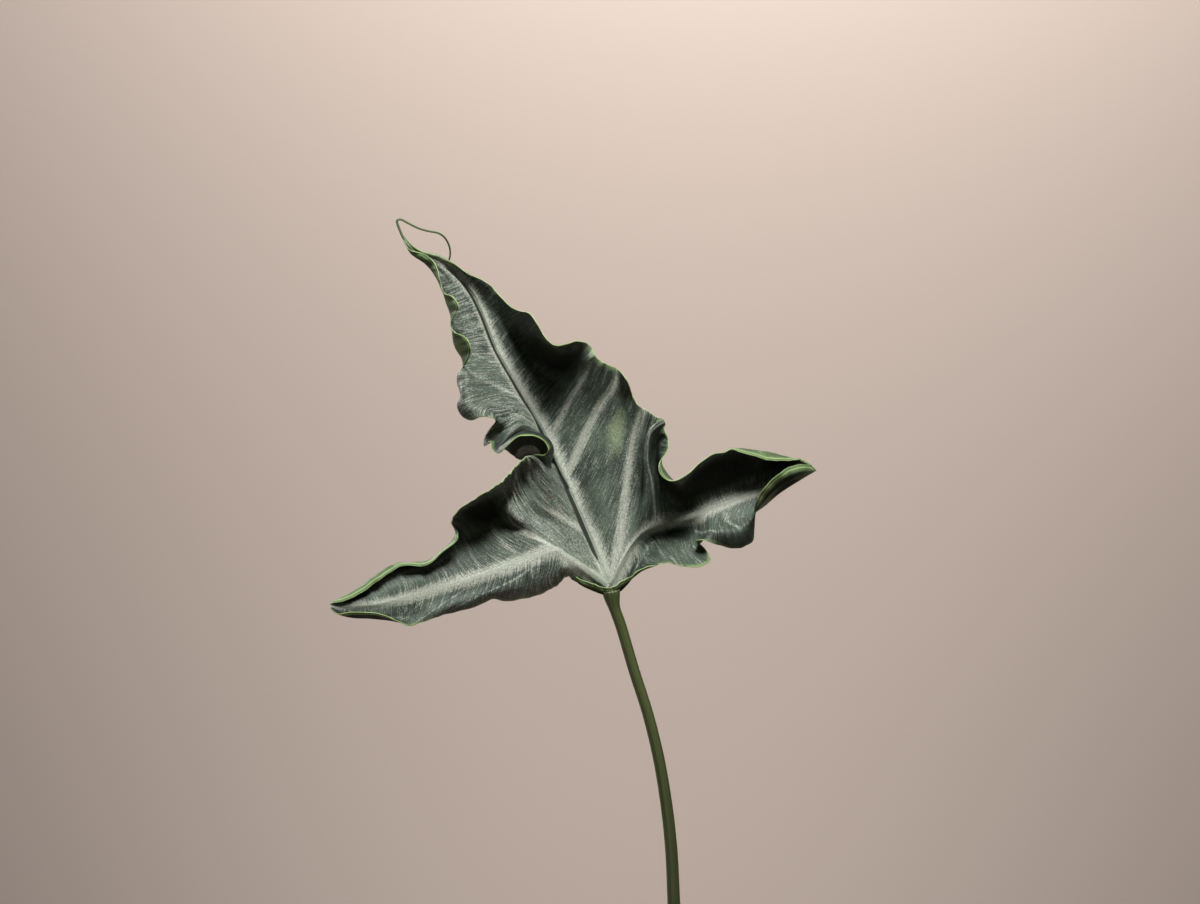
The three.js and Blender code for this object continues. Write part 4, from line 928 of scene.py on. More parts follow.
def stalk_skin(colours):
    """Leaf stalk: smooth firm skin, olive green, with painted shade that darkens it towards its foot, and
    fine dark lines along it.
    """
    material, tree, shader = new_material("alocasia_stalk_skin")
    place = add_node(tree, "Attribute", output="Vector", attribute_name="stem_place")
    along = add_node(tree, "SeparateXYZ", {0: place}, output="Z")
    # lines 0.9 mm apart round the stalk, 60 mm long
    drawn_out = add_node(tree, "Mapping", {"Vector": place, "Scale": (1.1, 1.1, 0.016)})
    lines = add_node(tree, "TexNoise", {"Vector": drawn_out, "Scale": 1.0, "Detail": 4.0, "Roughness": 0.7})
    # painted shade: the stalk darkens towards its foot
    height = add_node(tree, "MapRange", {
        "Value": along, "From Min": 30.0, "From Max": 245.0}, interpolation_type="SMOOTHSTEP")
    lined = add_node(tree, "MapRange", {"Value": lines, "From Min": 0.42, "From Max": 0.7, "To Max": 0.65})
    skin = colours.stalk_foot_painted_shade
    for amount, colour in ((height, colours.stalk), (lined, colours.stalk_line)):
        skin = add_node(tree, "Mix", {0: amount, 6: skin, 7: colour}, output=2, data_type="RGBA")
    bump = add_node(tree, "Bump", {"Height": lines, "Strength": 0.25, "Distance": 0.0004})
    set_sockets(shader, {"Base Color": skin, "Roughness": 0.4, "Normal": bump})
    return material


def papery_sheath(colours):
    """Dried sheath of an old leaf: thin papery tissue, straw-brown, with fibres 0.7 mm apart along it,
    coarser than real ones so that they show."""
    material, tree, shader = new_material("dry_papery_sheath")
    place = add_node(tree, "Attribute", output="Vector", attribute_name="stem_place")
    drawn_out = add_node(tree, "Mapping", {"Vector": place, "Scale": (1.4, 1.4, 0.05)})
    fibre = add_node(tree, "TexNoise", {"Vector": drawn_out, "Scale": 1.0, "Detail": 5.0, "Roughness": 0.75})
    tone = add_node(tree, "MapRange", {"Value": fibre, "From Min": 0.32, "From Max": 0.68})
    colour = add_node(tree, "Mix", {
        0: tone, 6: colours.sheath_dark, 7: colours.sheath}, output=2, data_type="RGBA")
    bump = add_node(tree, "Bump", {"Height": fibre, "Strength": 0.6, "Distance": 0.0006})
    set_sockets(shader, {"Base Color": colour, "Roughness": 0.72, "Normal": bump})
    return material


def corm_bark(colours):
    """Corm: corky brown skin, with darker ring scars where old leaves stood."""
    material, tree, shader = new_material("corky_corm_bark")
    solid = add_node(tree, "TexCoord", output="Object")
    # rings 1.4 mm apart, and cork cells 1.1 mm across
    ringed = add_node(tree, "Mapping", {"Vector": solid, "Scale": (90, 90, 700)})
    ring = add_node(tree, "TexNoise", {"Vector": ringed, "Scale": 1.0, "Detail": 4.0})
    cork = add_node(tree, "TexNoise", {"Vector": solid, "Scale": 900.0, "Detail": 5.0, "Roughness": 0.7})
    both = add_node(tree, "Math", {0: ring, 1: 0.7, 2: cork}, operation="MULTIPLY_ADD")
    tone = add_node(tree, "MapRange", {"Value": both, "From Min": 0.65, "From Max": 1.05})
    colour = add_node(tree, "Mix", {
        0: tone, 6: colours.corm_dark, 7: colours.corm}, output=2, data_type="RGBA")
    bump = add_node(tree, "Bump", {"Height": both, "Strength": 0.7, "Distance": 0.0008})
    set_sockets(shader, {"Base Color": colour, "Roughness": 0.85, "Normal": bump})
    return material


def potting_soil(colours):
    """Peaty potting soil: dark matt crumbs 2.4 mm across, mottled with lighter soil every 4 mm."""
    material, tree, shader = new_material("peaty_potting_soil")
    solid = add_node(tree, "TexCoord", output="Object")
    crumb = add_node(tree, "TexVoronoi", {"Vector": solid, "Scale": 420.0})
    cloud = add_node(tree, "TexNoise", {"Vector": solid, "Scale": 260.0, "Detail": 6.0, "Roughness": 0.75})
    tone = add_node(tree, "MapRange", {"Value": cloud, "From Min": 0.38, "From Max": 0.72})
    colour = add_node(tree, "Mix", {
        0: tone, 6: colours.soil_dark, 7: colours.soil}, output=2, data_type="RGBA")
    height = add_node(tree, "Math", {0: crumb, 1: cloud}, operation="ADD")
    bump = add_node(tree, "Bump", {"Height": height, "Strength": 0.9, "Distance": 0.0012})
    set_sockets(shader, {"Base Color": colour, "Roughness": 0.95, "Normal": bump})
    return material


def fired_clay(colours):
    """Unglazed earthenware, thrown and fired: matt and porous, with a fine sandy grain, faint turning
    lines and a pale bloom of lime, thicker near the foot."""
    material, tree, shader = new_material("unglazed_fired_clay")
    solid = add_node(tree, "TexCoord", output="Object")
    height = add_node(tree, "SeparateXYZ", {0: solid}, output="Z")
    # sand 0.8 mm across, clouds 38 mm across and turning lines 1.5 mm apart
    sand = add_node(tree, "TexNoise", {"Vector": solid, "Scale": 1300.0, "Detail": 4.0, "Roughness": 0.7})
    cloud = add_node(tree, "TexNoise", {"Vector": solid, "Scale": 26.0, "Detail": 5.0, "Roughness": 0.6})
    lines = add_node(tree, "Mapping", {"Vector": solid, "Scale": (6, 6, 650)})
    turned = add_node(tree, "TexNoise", {"Vector": lines, "Scale": 1.0, "Detail": 3.0})
    tone = add_node(tree, "MapRange", {"Value": cloud, "From Min": 0.35, "From Max": 0.65})
    low = add_node(tree, "MapRange", {
        "Value": height, "From Min": 0.0, "From Max": 0.05, "To Min": 0.34, "To Max": 0.0})
    lime = add_node(tree, "Math", {0: cloud, 1: 0.55, 2: low}, operation="MULTIPLY_ADD")
    bloom = add_node(tree, "MapRange", {"Value": lime, "From Min": 0.34, "From Max": 0.72, "To Max": 0.42})
    clay = colours.clay_dark
    for amount, colour in ((tone, colours.clay), (bloom, colours.lime)):
        clay = add_node(tree, "Mix", {0: amount, 6: clay, 7: colour}, output=2, data_type="RGBA")
    relief = add_node(tree, "Math", {0: turned, 1: 1.4, 2: sand}, operation="MULTIPLY_ADD")
    bump = add_node(tree, "Bump", {"Height": relief, "Strength": 0.35, "Distance": 0.0005})
    set_sockets(shader, {"Base Color": clay, "Roughness": 0.88, "Normal": bump})
    return material


def matt_paint(name, colour):
    """Matt painted board for the floor and backdrop: one plain colour, and the faintest roller texture of
    bumps 3 mm across."""
    material, tree, shader = new_material(name)
    solid = add_node(tree, "TexCoord", output="Object")
    roller = add_node(tree, "TexNoise", {"Vector": solid, "Scale": 300.0})
    bump = add_node(tree, "Bump", {"Height": roller, "Strength": 0.04, "Distance": 0.0005})
    set_sockets(shader, {"Base Color": colour, "Roughness": 0.9, "Normal": bump})
    return material


# Stalk, sheath, corm, soil and pot

# Centre line of the leaf stalk on the drawing grid, from below the photo's lower edge up to the leaf
STALK = (
    (682, 1150, 0), (681, 1090, 0), (679, 1030, -3), (676.5, 960, -6), (674, 904, -9), (671, 845, -11),
    (666, 801, -11), (658.5, 757, -10), (648, 714, -8), (634, 670, -6), (621, 626, -2), (613, 602, 2),
    (611, 590, 4),
)

GAP = 0.3                   # between a piece and what it sits on, as in the part's source
STALK_SEAT = 93             # height of the stalk's foot, less the gap
STALK_RADII = (3.1, 2.2)    # near the foot, and from four fifths of the way up
FOOT_SWELL = 1.1
LEAF_FLARE = 1.3
STALK_RINGS = 340
STALK_SIDES = 88
STALK_RIDGES = 11
SHEATH_HEIGHT = 46
SHEATH_STEPS = (150, 90)    # around and up
CORM_TOP = 105
CORM_HOLE = 4.4             # radius of the hole that takes the stalk
SOIL_LEVEL = 94
SOIL_HOLE = 11.15           # radius of the hole that takes the corm
SOIL_EDGE_GAP = 0.1
CRUMBS = 1100
POT_WALL = 5
POT_FLOOR = 6
FLOOR_CORNER = 2            # sloping corner between the pot's floor and wall
BAND_STEP = 5               # how far the band stands out over the wall under it
DRAINS = 3
DRAIN_CIRCLE = 22           # radius of the circle that the drain holes stand on


def stalk_path(steps):
    """Centre line of the stalk in equal steps, from its seat in the corm up to the leaf, and the distance
    run at each step."""
    points = np.concatenate([[(0, 0, STALK_SEAT + GAP)], grid_point(STALK)])
    chords = lengths_along(points, 0)
    fine = smooth_curve(points, np.linspace(0, chords[-1], 1200), chords)
    run = lengths_along(fine, 0)
    even = np.linspace(0, run[-1], steps)
    return np.stack([np.interp(even, run, fine[:, k]) for k in range(3)], -1), even


def stalk_radius(share):
    """Radius at a share of the way up: a straight taper, with a swollen foot and a slight flare under the
    leaf."""
    low, high = STALK_RADII
    taper = low + (high - low) * np.minimum(share / 0.8, 1)
    foot = FOOT_SWELL * np.exp(-((share / 0.16) ** 2))
    return taper + foot + LEAF_FLARE * smoothstep(share, 0.965, 1)


def stem_places(centres, points, sides, runs):
    """Own coordinates of a stem's surface: millimetres across its section, and along it."""
    angles = np.tile(circle(sides), len(centres))
    radii = np.linalg.norm(points[:len(angles)] - np.repeat(centres, sides, axis=0), axis=1)
    places = np.stack([radii * np.cos(angles), radii * np.sin(angles), np.repeat(runs, sides)], -1)
    return np.concatenate([places, [(0, 0, runs[0]), (0, 0, runs[-1])]])


def stalk_solid():
    """Round stalk with shallow ridges along it, 0.06 mm high: radii times 1 + 0.025 cos(11 a), with the
    ridges swaying a little as they rise."""
    path, runs = stalk_path(STALK_RINGS)
    points, faces = round_along(path, stalk_radius(runs / runs[-1]), STALK_SIDES)
    places = stem_places(path, points, STALK_SIDES, runs)
    angles = np.tile(circle(STALK_SIDES), len(path))
    centres = np.repeat(path, STALK_SIDES, axis=0)
    sway = 0.4 * np.sin(places[:len(angles), 2] / 40)
    spread = 1 + 0.025 * np.cos(STALK_RIDGES * angles + sway)
    points[:len(angles)] = centres + (points[:len(angles)] - centres) * spread[:, None]
    return points, faces, places


def sheath_solid():
    """Papery sheath about the stalk's foot: its height falls from a point on one side to the open side,
    and it stands off the stalk more towards its frayed top."""
    around, upward = SHEATH_STEPS
    path, runs = stalk_path(600)
    side = np.linspace(-1, 1, around + 1)[None, :]
    up = np.linspace(0, 1, upward + 1)[:, None]
    fray = 0.05 * np.sin(23 * side) + 0.035 * np.sin(57 * side + 1) + 0.02 * np.sin(131 * side)
    reach = SHEATH_HEIGHT * (0.34 + 0.66 * (1 - np.abs(side)) ** 0.8) * (1 + fray * up ** 3)
    height = CORM_TOP + 1.1 + reach * up
    centre_x, centre_y = (np.interp(height, path[:, 2], path[:, k]) for k in range(2))
    open_out = 1.6 * up ** 2 + 0.5 * np.cos(5 * side + 9 * up) + 0.12 * np.sin(31 * side) * up
    radius = stalk_radius((height - STALK_SEAT - GAP) / runs[-1]) + 1.4 + open_out
    angle = math.pi * (0.25 + 0.86 * side) + 0 * up
    grid = np.stack([centre_x + radius * np.cos(angle), centre_y + radius * np.sin(angle), height], -1)
    points = grid.reshape(-1, 3)
    faces = grid_triangles(upward + 1, around + 1, turned=True)
    normals = point_normals(points, faces)
    places = np.stack([5 * np.cos(angle), 5 * np.sin(angle), height], -1).reshape(-1, 3)
    half = np.full(len(points), 0.22) * (1 - 0.55 * np.repeat(up[:, 0], around + 1))
    count = len(points)
    start, end = open_edges(faces).T
    walls = [np.stack([end, start, start + count], -1), np.stack([end, start + count, end + count], -1)]
    solid = np.concatenate([points + normals * half[:, None], points - normals * half[:, None]])
    return solid, np.concatenate([faces, faces[:, ::-1] + count] + walls), np.concatenate([places, places])


def wall_radius(sizes, height):
    """Radius of the pot's inner wall at a height: straight from its foot to its mouth."""
    foot = sizes.foot_radius * 1000 - POT_WALL
    mouth = sizes.mouth_radius * 1000 - POT_WALL
    return foot + (mouth - foot) * height / POT_TOP


def pot_profile(sizes):
    """Section of the pot as [radius, height]: under the foot, up the outer wall and band, down the inner
    wall and along the floor."""
    foot, mouth = sizes.foot_radius * 1000, sizes.mouth_radius * 1000
    band = POT_TOP - sizes.band_height * 1000
    corner = POT_FLOOR + FLOOR_CORNER
    return [
        (0, 0), (foot - 1.2, 0), (foot, 1.2), (mouth - BAND_STEP, band), (mouth - 1.6, band + 1.6),
        (mouth, POT_TOP - 1.5), (mouth - 1.5, POT_TOP), (wall_radius(sizes, POT_TOP) + 1, POT_TOP),
        (wall_radius(sizes, POT_TOP - 1), POT_TOP - 1), (wall_radius(sizes, corner), corner),
        (wall_radius(sizes, POT_FLOOR) - FLOOR_CORNER, POT_FLOOR), (0, POT_FLOOR),
    ]


def clay_wave(radii, heights, angles):
    """Hand-turned unevenness: radii swell by under 0.2 mm in slow waves up and round the wall."""
    swell = 0.09 * np.sin(heights / 2.3) + 0.07 * np.sin(heights / 5.1 + 2 * angles)
    return radii + swell * smoothstep(heights, 1, 4), heights


def soil_top(x, y, radius):
    """Height of the soil's lumpy top: crossing waves of 9 to 21 mm, as in the part's source, that die out
    towards the corm."""
    broad = np.sin(x / 3.4 + 1.3) * np.sin(y / 2.9 + 0.4)
    middle = np.sin((x + y) / 2.1) * np.cos((x - y) / 1.7 + 2)
    fine = np.sin(x / 1.5 - y / 1.9)
    lump = 0.9 * broad + 0.7 * middle + 0.4 * fine
    return SOIL_LEVEL + smoothstep(radius, SOIL_HOLE, SOIL_HOLE + 8) * lump


def soil_solid(sizes):
    """Soil filling the pot: the source's lumps with finer ones on them, and a hole round the corm."""
    corner = POT_FLOOR + FLOOR_CORNER
    under_top = SOIL_LEVEL - 2
    edge = wall_radius(sizes, SOIL_LEVEL) - SOIL_EDGE_GAP
    profile = [
        (0, POT_FLOOR + GAP), (wall_radius(sizes, POT_FLOOR) - (FLOOR_CORNER + GAP), POT_FLOOR + GAP),
        (wall_radius(sizes, corner) - GAP, corner + GAP),
        (wall_radius(sizes, under_top) - SOIL_EDGE_GAP, under_top),
        *((radius, SOIL_LEVEL) for radius in np.linspace(edge, SOIL_HOLE, 80)),
        (SOIL_HOLE, SOIL_LEVEL - 6), (0, SOIL_LEVEL - 6),
    ]

    def lumps(radii, heights, angles):
        x, y = radii * np.cos(angles), radii * np.sin(angles)
        small = 0.35 * np.sin(x * 1.9 + 1.7 * np.sin(y * 1.3)) * np.cos(y * 2.1 + 1.3 * np.sin(x * 1.1))
        on_top = heights > SOIL_LEVEL - 1
        return radii, np.where(on_top, soil_top(x, y, radii) + small, heights)

    return turned_solid(profile, 260, lumps)


def soil_crumbs(sizes):
    """Crumbs about 0.5 to 2.3 mm across, half sunk in the soil: one squashed lump of 24 faces for each, with
    place, size, shape and turn drawn from a seeded row of numbers."""
    draw = np.random.default_rng(7)
    nearest, farthest = 13.2, wall_radius(sizes, SOIL_LEVEL) - 2.6
    radius = np.sqrt(draw.uniform((nearest / farthest) ** 2, 1, CRUMBS)) * farthest
    angle = draw.uniform(0, 2 * math.pi, CRUMBS)
    x, y = radius * np.cos(angle), radius * np.sin(angle)
    size = draw.uniform(0.35, 1.1, CRUMBS) ** 1.4
    ring = circle(6)
    low = np.stack([np.cos(ring), np.sin(ring), np.full(6, -0.35)], -1)
    high = np.stack([0.75 * np.cos(ring + 0.5), 0.75 * np.sin(ring + 0.5), np.full(6, 0.45)], -1)
    lump = np.concatenate([low, high, [(0, 0, -0.8), (0, 0, 0.8)]])
    k = np.arange(6)
    n = (k + 1) % 6
    faces = [(n, k, np.full(6, 12)), (k, n, k + 6), (n, n + 6, k + 6), (k + 6, n + 6, np.full(6, 13))]
    faces = np.concatenate([np.stack(three, -1) for three in faces])
    shape = lump[None] * draw.uniform(0.7, 1.3, (CRUMBS, len(lump), 1))
    shape = shape * (size[:, None] * draw.uniform(0.7, 1.3, (CRUMBS, 3)))[:, None, :]
    turn = draw.uniform(0, 2 * math.pi, CRUMBS)
    cos, sin = np.cos(turn)[:, None], np.sin(turn)[:, None]
    across, along, up = (shape[..., axis] for axis in range(3))
    rotated = np.stack([across * cos - along * sin, across * sin + along * cos, up], -1)
    centre = np.stack([x, y, soil_top(x, y, radius) + 0.25 * size], -1)
    points = (rotated + centre[:, None, :]).reshape(-1, 3)
    numbers = faces[None] + (np.arange(CRUMBS) * len(lump))[:, None, None]
    return points, numbers.reshape(-1, 3)


def corm_solid():
    """Swollen stem base with ring scars, and a hole that takes the stalk."""
    profile = [
        (0, 78.3), (8.5, 78.3), (11, 81.3), (11, 94), (10.2, 95), (10.8, 96), (10.4, 98), (9.3, 98.8),
        (9.7, 100), (9, 102), (CORM_HOLE + 2.6, 104.4), (CORM_HOLE + 1, CORM_TOP), (CORM_HOLE, 104.5),
        (CORM_HOLE, 97), (0, 97),
    ]

    def scars(radii, heights, angles):
        wave = 0.16 * np.sin(heights * 3.1 + 0.5 * np.sin(3 * angles)) + 0.14 * np.sin(7 * angles + heights)
        outside = smoothstep(radii, 6.5, 8.5)
        return radii + wave * outside, heights

    return turned_solid(divided(rounded(profile, 0.6), 0.35), 150, scars)


# The settings, the operators that build the pieces, and the panel

def colour_setting(name, hex_colour):
    """A colour that the panel shows, from its sRGB hex code."""
    return bpy.props.FloatVectorProperty(
        name=name, description=f"Colour of: {name.lower()}", default=linear(hex_colour), size=4, min=0, max=1,
        subtype="COLOR")


def length_setting(name, description, metres):
    """A length that the panel shows."""
    return bpy.props.FloatProperty(
        name=name, description=description, default=metres, min=0, max=4 * metres, precision=5,
        subtype="DISTANCE", unit="LENGTH")


def power_setting(name, description, watts, most):
    """The power of a light, which the panel shows."""
    return bpy.props.FloatProperty(
        name=name, description=description, default=watts, min=0, max=most, subtype="POWER",
        unit="POWER")


class LeafSettings(bpy.types.PropertyGroup):
    """Sizes and colours of the leaf blade"""
    blade_thickness: length_setting("Blade thickness", "Thickness of the leaf between its veins", 0.0007)
    rib_width: length_setting("Rib width", "Width of the midrib near the leaf base", 0.0034)
    rib_rise: length_setting("Rib rise", "How far the midrib stands above the upper face", 0.0008)
    rib_depth: length_setting("Rib depth", "How far the ribs stand out of the under face", 0.0013)
    vein_depth: length_setting("Vein depth", "Depth of the side veins in the upper face", 0.00022)
    thread_radius: length_setting("Thread radius", "Radius of the drip tip's dried thread", 0.00042)
    panel: colour_setting("Leaf between the veins", "#27322b")
    panel_light: colour_setting("Lighter leaf between the veins", "#445246")
    silver: colour_setting("Silver along the veins", "#b8bbaf")
    silver_shade: colour_setting("Duller silver along the veins", "#747b70")
    rib: colour_setting("Upper face of the midrib", "#828f7b")
    # painted shade for the groove beside the midrib
    groove_with_painted_shade: colour_setting("Groove beside the midrib", "#171b15")
    # painted shade for the folds
    painted_fold_shade: colour_setting("Dark folds", "#141a15")
    pale: colour_setting("Pale patch", "#97a785")
    margin: colour_setting("Leaf edge", "#9fb67c")
    margin_dark: colour_setting("Darker parts of the leaf edge", "#728b54")
    under: colour_setting("Under face", "#3a4a32")
    under_light: colour_setting("Lighter under face", "#586c48")
    brown: colour_setting("Brown speck", "#6e4238")
    red: colour_setting("Red speck", "#b0523f")


class StemSettings(bpy.types.PropertyGroup):
    """Colours of the stalk, the sheath and the corm"""
    stalk: colour_setting("Stalk near the leaf", "#424b2a")
    # painted shade for the stalk's foot
    stalk_foot_painted_shade: colour_setting("Stalk near its foot", "#272e20")
    stalk_line: colour_setting("Lines along the stalk", "#1d2210")
    sheath: colour_setting("Dry sheath", "#b59c72")
    sheath_dark: colour_setting("Darker fibres of the sheath", "#6d5333")
    corm: colour_setting("Corm", "#8a7048")
    corm_dark: colour_setting("Scars of the corm", "#3f3020")


class PotSettings(bpy.types.PropertyGroup):
    """Sizes and colours of the pot, and colours of its soil"""
    mouth_radius: length_setting(
        "Mouth radius", "Outer radius of the pot's band at the mouth", POT_RADIUS / 1000)
    foot_radius: length_setting("Foot radius", "Outer radius of the pot's foot", 0.042)
    band_height: length_setting("Band height", "Height of the thicker band round the mouth", 0.022)
    drain_radius: length_setting("Drain radius", "Radius of each drain hole", 0.0045)
    clay: colour_setting("Clay", "#b9714f")
    clay_dark: colour_setting("Darker clay", "#9a5638")
    lime: colour_setting("Lime bloom", "#d9c3ad")
    soil: colour_setting("Lighter soil", "#4a3828")
    soil_dark: colour_setting("Dark soil", "#1e1610")


class StageSettings(bpy.types.PropertyGroup):
    """Colours of the boards and strengths of the lights"""
    wall: colour_setting("Backdrop", "#cbbcb3")
    floor: colour_setting("Floor", "#b9ada2")
    key_power: power_setting("Key light", "Power of the soft light overhead", 1.5, 200)
    back_power: power_setting("Back light", "Power of the light behind the plant", 2.0, 50)
    wall_power: power_setting("Backdrop light", "Power of the light on the backdrop", 55, 400)
    fill: bpy.props.FloatProperty(
        name="Fill", description="Strength of the even light from all round", default=0.055, min=0, max=2,
        subtype="FACTOR")


class ALOCASIA_OT_leaf(bpy.types.Operator):
    """Build the leaf blade with its drip tip"""
    bl_idname = "alocasia.leaf"
    bl_label = "Leaf"

    def execute(self, context):
        settings = context.scene.alocasia_leaf
        points, faces, slots, attributes, uv = blade_solid(settings)
        rings = 150
        thread = smooth_curve(TIP_THREAD, np.linspace(0, len(TIP_THREAD) - 1, rings))
        radii = settings.thread_radius * 1000 * (1.25 - 0.45 * np.linspace(0, 1, rings))
        thread_points, thread_faces = round_along(grid_point(thread), radii, 14)
        extra = len(thread_points)
        attributes = {name: np.concatenate([values, np.zeros(extra)]) for name, values in attributes.items()}
        piece = make_piece(
            "alocasia_leaf", np.concatenate([points, thread_points]),
            np.concatenate([faces, thread_faces + len(points)]),
            [upper_epidermis(settings), lower_epidermis(settings), leaf_margin(settings)],
            np.concatenate([slots, np.full(len(thread_faces), 1)]), attributes,
            np.concatenate([uv, np.zeros((extra, 2))]))
        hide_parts("leaf_blade")
        return {"FINISHED"}


def set_stem_places(piece, places):
    """Gives a piece its own coordinates, which its material reads."""
    layer = piece.data.attributes.new("stem_place", "FLOAT_VECTOR", "POINT")
    layer.data.foreach_set("vector", np.asarray(places, np.float32).ravel())


class ALOCASIA_OT_stem(bpy.types.Operator):
    """Build the leaf stalk, the dry sheath at its foot and the corm"""
    bl_idname = "alocasia.stem"
    bl_label = "Stalk, sheath and corm"

    def execute(self, context):
        settings = context.scene.alocasia_stem
        points, faces, places = stalk_solid()
        stalk = make_piece("alocasia_stalk", points, faces, [stalk_skin(settings)])
        set_stem_places(stalk, places)
        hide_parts("leaf_stalk")
        points, faces, places = sheath_solid()
        sheath = make_piece("dry_sheath", points, faces, [papery_sheath(settings)])
        set_stem_places(sheath, places)
        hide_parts("sheath")
        points, faces = corm_solid()
        corm = make_piece("alocasia_corm", points, faces, [corm_bark(settings)])
        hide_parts("corm")
        return {"FINISHED"}


class ALOCASIA_OT_pot(bpy.types.Operator):
    """Build the clay pot, with its drain holes cut through the floor"""
    bl_idname = "alocasia.pot"
    bl_label = "Pot"

    def execute(self, context):
        settings = context.scene.alocasia_pot
        profile = divided(rounded(pot_profile(settings), 1.3), 1.5)
        points, faces = turned_solid(profile, 192, clay_wave)
        piece = make_piece("clay_pot", points, faces, [fired_clay(settings)])
        radius = settings.drain_radius * 1000
        drain_points, drain_faces = turned_solid([(0, -6), (radius, -6), (radius, 14), (0, 14)], 40)
        angles = 2 * math.pi * (np.arange(DRAINS) + 0.25) / DRAINS
        shifts = np.stack([DRAIN_CIRCLE * np.cos(angles), DRAIN_CIRCLE * np.sin(angles), 0 * angles], -1)
        cutter_points = np.concatenate([drain_points + shift for shift in shifts])
        cutter_faces = np.concatenate([drain_faces + k * len(drain_points) for k in range(DRAINS)])
        cutter = make_piece("drain_cutter", cutter_points, cutter_faces, piece.data.materials)
        cut = piece.modifiers.new("drains", "BOOLEAN")
        cut.object = cutter
        cut.operation = "DIFFERENCE"
        cut.solver = "EXACT"
        context.view_layer.update()
        whole = bpy.data.meshes.new_from_object(piece.evaluated_get(context.evaluated_depsgraph_get()))
        piece.modifiers.clear()
        piece.data = whole
        bpy.data.objects.remove(cutter)
        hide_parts("pot")
        return {"FINISHED"}


class ALOCASIA_OT_soil(bpy.types.Operator):
    """Build the soil in the pot with its loose crumbs"""
    bl_idname = "alocasia.soil"
    bl_label = "Soil"

    def execute(self, context):
        settings = context.scene.alocasia_pot
        points, faces = soil_solid(settings)
        crumb_points, crumb_faces = soil_crumbs(settings)
        piece = make_piece("potting_soil", np.concatenate([points, crumb_points]),
                           np.concatenate([faces, crumb_faces + len(points)]), [potting_soil(settings)])
        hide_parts("soil")
        return {"FINISHED"}


# The stage, in metres

BACKDROP_PLACE = 2.4                        # how far behind the plant the backdrop stands
BACKDROP_EXTENT = (-3.8, 3.8, -0.4, 4.6)    # left, right, low, high
FLOOR_EXTENT = (-2.2, 2.2, -2.4, 1.2)       # left, right, near, far
CAMERA_SENSOR = 36                          # millimetres
CAMERA_LENS = 75                            # millimetres
WALL_WHITE = (1.0, 0.97, 0.94)

# Square soft lights: name, place, target, side, setting of the power and share of it, colour, and how many
# degrees the beam spreads
LIGHTS = (
    ("key_light", (0.06, -0.62, 1.12), (-0.04, 0.0, 0.40), 0.32, "key_power", 1, (1.0, 0.985, 0.96), 44),
    ("backdrop_light", (0.164, 1.476, 2.49), (0.112, BACKDROP_PLACE, 1.357), 1.046, "wall_power", 1,
     WALL_WHITE, 150),
    ("backdrop_foot_light", (0.0, 1.35, -0.35), (0.0, BACKDROP_PLACE, 0.1), 1.0, "wall_power", 0.085,
     WALL_WHITE, 150),
    ("back_light", (-0.9, 0.75, 0.95), (0.0, 0.0, 0.3), 0.5, "back_power", 1, (1.0, 0.98, 0.96), 60),
)


def stage_board(name, extent, colour, upright):
    """A plain board: upright behind the plant, or lying under the pot."""
    left, right, low, high = extent
    sides = [(left, low), (right, low), (right, high), (left, high)]
    corners = [(x, BACKDROP_PLACE, h) if upright else (x, h, 0) for x, h in sides]
    mesh = bpy.data.meshes.new(name)
    mesh.from_pydata(corners, [], [(0, 1, 2, 3)])
    mesh.materials.append(matt_paint("matt_painted_" + name, colour))
    board = bpy.data.objects.new(name, mesh)
    bpy.context.scene.collection.objects.link(board)
    return board


def soft_light(name, place, target, size, power, colour, spread):
    """A square soft light at a place in metres, facing its target, its beam spread so many degrees."""
    light = bpy.data.lights.new(name, "AREA")
    light.size = size
    light.energy = power
    light.color = colour
    light.spread = math.radians(spread)
    holder = bpy.data.objects.new(name, light)
    holder.location = place
    aim = holder.location.copy()
    aim.x, aim.y, aim.z = (target[k] - place[k] for k in range(3))
    holder.rotation_euler = aim.to_track_quat("-Z", "Y").to_euler()
    bpy.context.scene.collection.objects.link(holder)


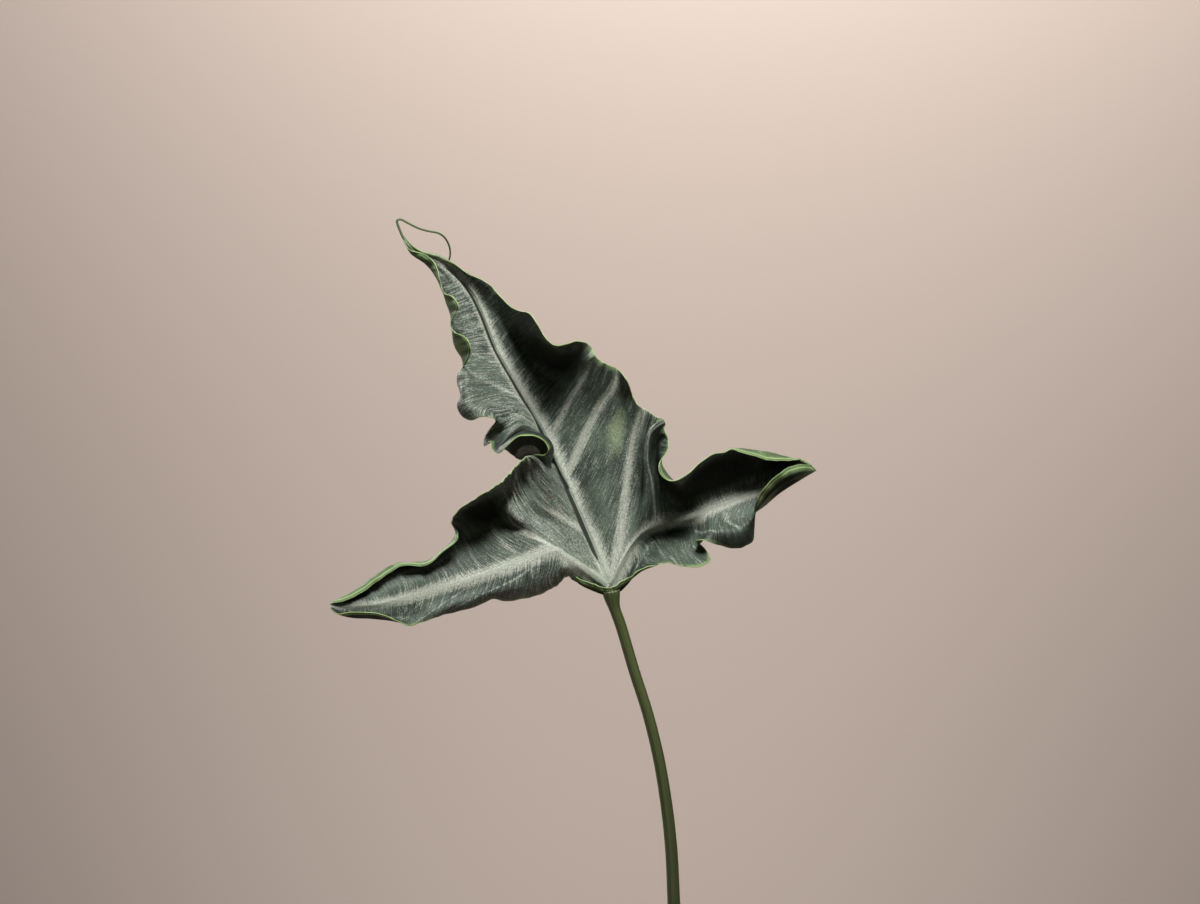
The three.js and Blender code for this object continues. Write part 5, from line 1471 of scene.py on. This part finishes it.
class ALOCASIA_OT_stage(bpy.types.Operator):
    """Build the floor, the backdrop, the lights and the camera"""
    bl_idname = "alocasia.stage"
    bl_label = "Stage"

    def execute(self, context):
        settings = context.scene.alocasia_stage
        backdrop = stage_board("backdrop", BACKDROP_EXTENT, settings.wall, upright=True)
        floor = stage_board("floor", FLOOR_EXTENT, settings.floor, upright=False)
        for name, place, target, size, power, share, colour, spread in LIGHTS:
            soft_light(name, place, target, size, getattr(settings, power) * share, colour, spread)
        world = bpy.data.worlds.new("even_light")
        world.use_nodes = True
        background = world.node_tree.nodes["Background"]
        background.inputs["Color"].default_value = linear("#e9e2da")
        background.inputs["Strength"].default_value = settings.fill
        context.scene.world = world
        context.scene.view_settings.view_transform = "Standard"
        camera = bpy.data.cameras.new("camera")
        camera.sensor_width = CAMERA_SENSOR
        camera.lens = CAMERA_LENS
        camera.clip_start = 0.01
        holder = bpy.data.objects.new("camera", camera)
        across = LEAF_BASE[0] + (GRID_SIGHT[0] - GRID_LEAF_BASE[0]) * GRID_STEP
        up = LEAF_BASE[2] + (GRID_LEAF_BASE[1] - GRID_SIGHT[1]) * GRID_STEP
        holder.location = (across / 1000, -GRID_SIGHT_DISTANCE * GRID_STEP / 1000, up / 1000)
        holder.rotation_euler = (math.radians(90), 0, 0)
        context.scene.collection.objects.link(holder)
        context.scene.camera = holder
        return {"FINISHED"}


SETTINGS = {
    "alocasia_leaf": LeafSettings,
    "alocasia_stem": StemSettings,
    "alocasia_pot": PotSettings,
    "alocasia_stage": StageSettings,
}
OPERATORS = (ALOCASIA_OT_leaf, ALOCASIA_OT_stem, ALOCASIA_OT_pot, ALOCASIA_OT_soil, ALOCASIA_OT_stage)


class ALOCASIA_PT_panel(bpy.types.Panel):
    """Shows every setting, and a button for each operator"""
    bl_idname = "ALOCASIA_PT_panel"
    bl_label = "Alocasia"
    bl_space_type = "VIEW_3D"
    bl_region_type = "UI"
    bl_category = "Alocasia"

    def draw(self, context):
        for name in SETTINGS:
            group = getattr(context.scene, name)
            box = self.layout.box()
            for setting in group.__annotations__:
                box.prop(group, setting)
        for operator in OPERATORS:
            self.layout.operator(operator.bl_idname)


def register():
    """Adds the settings, the operators and the panel to Blender."""
    for name, group in SETTINGS.items():
        bpy.utils.register_class(group)
        setattr(bpy.types.Scene, name, bpy.props.PointerProperty(type=group))
    for operator in OPERATORS:
        bpy.utils.register_class(operator)
    bpy.utils.register_class(ALOCASIA_PT_panel)


def unregister():
    """Takes them out again, the last one first."""
    bpy.utils.unregister_class(ALOCASIA_PT_panel)
    for operator in reversed(OPERATORS):
        bpy.utils.unregister_class(operator)
    for name, group in reversed(SETTINGS.items()):
        delattr(bpy.types.Scene, name)
        bpy.utils.unregister_class(group)


def main():
    """Builds everything."""
    register()
    bpy.ops.alocasia.leaf()
    bpy.ops.alocasia.stem()
    bpy.ops.alocasia.pot()
    bpy.ops.alocasia.soil()
    bpy.ops.alocasia.stage()


if __name__ == "__main__":
    main()
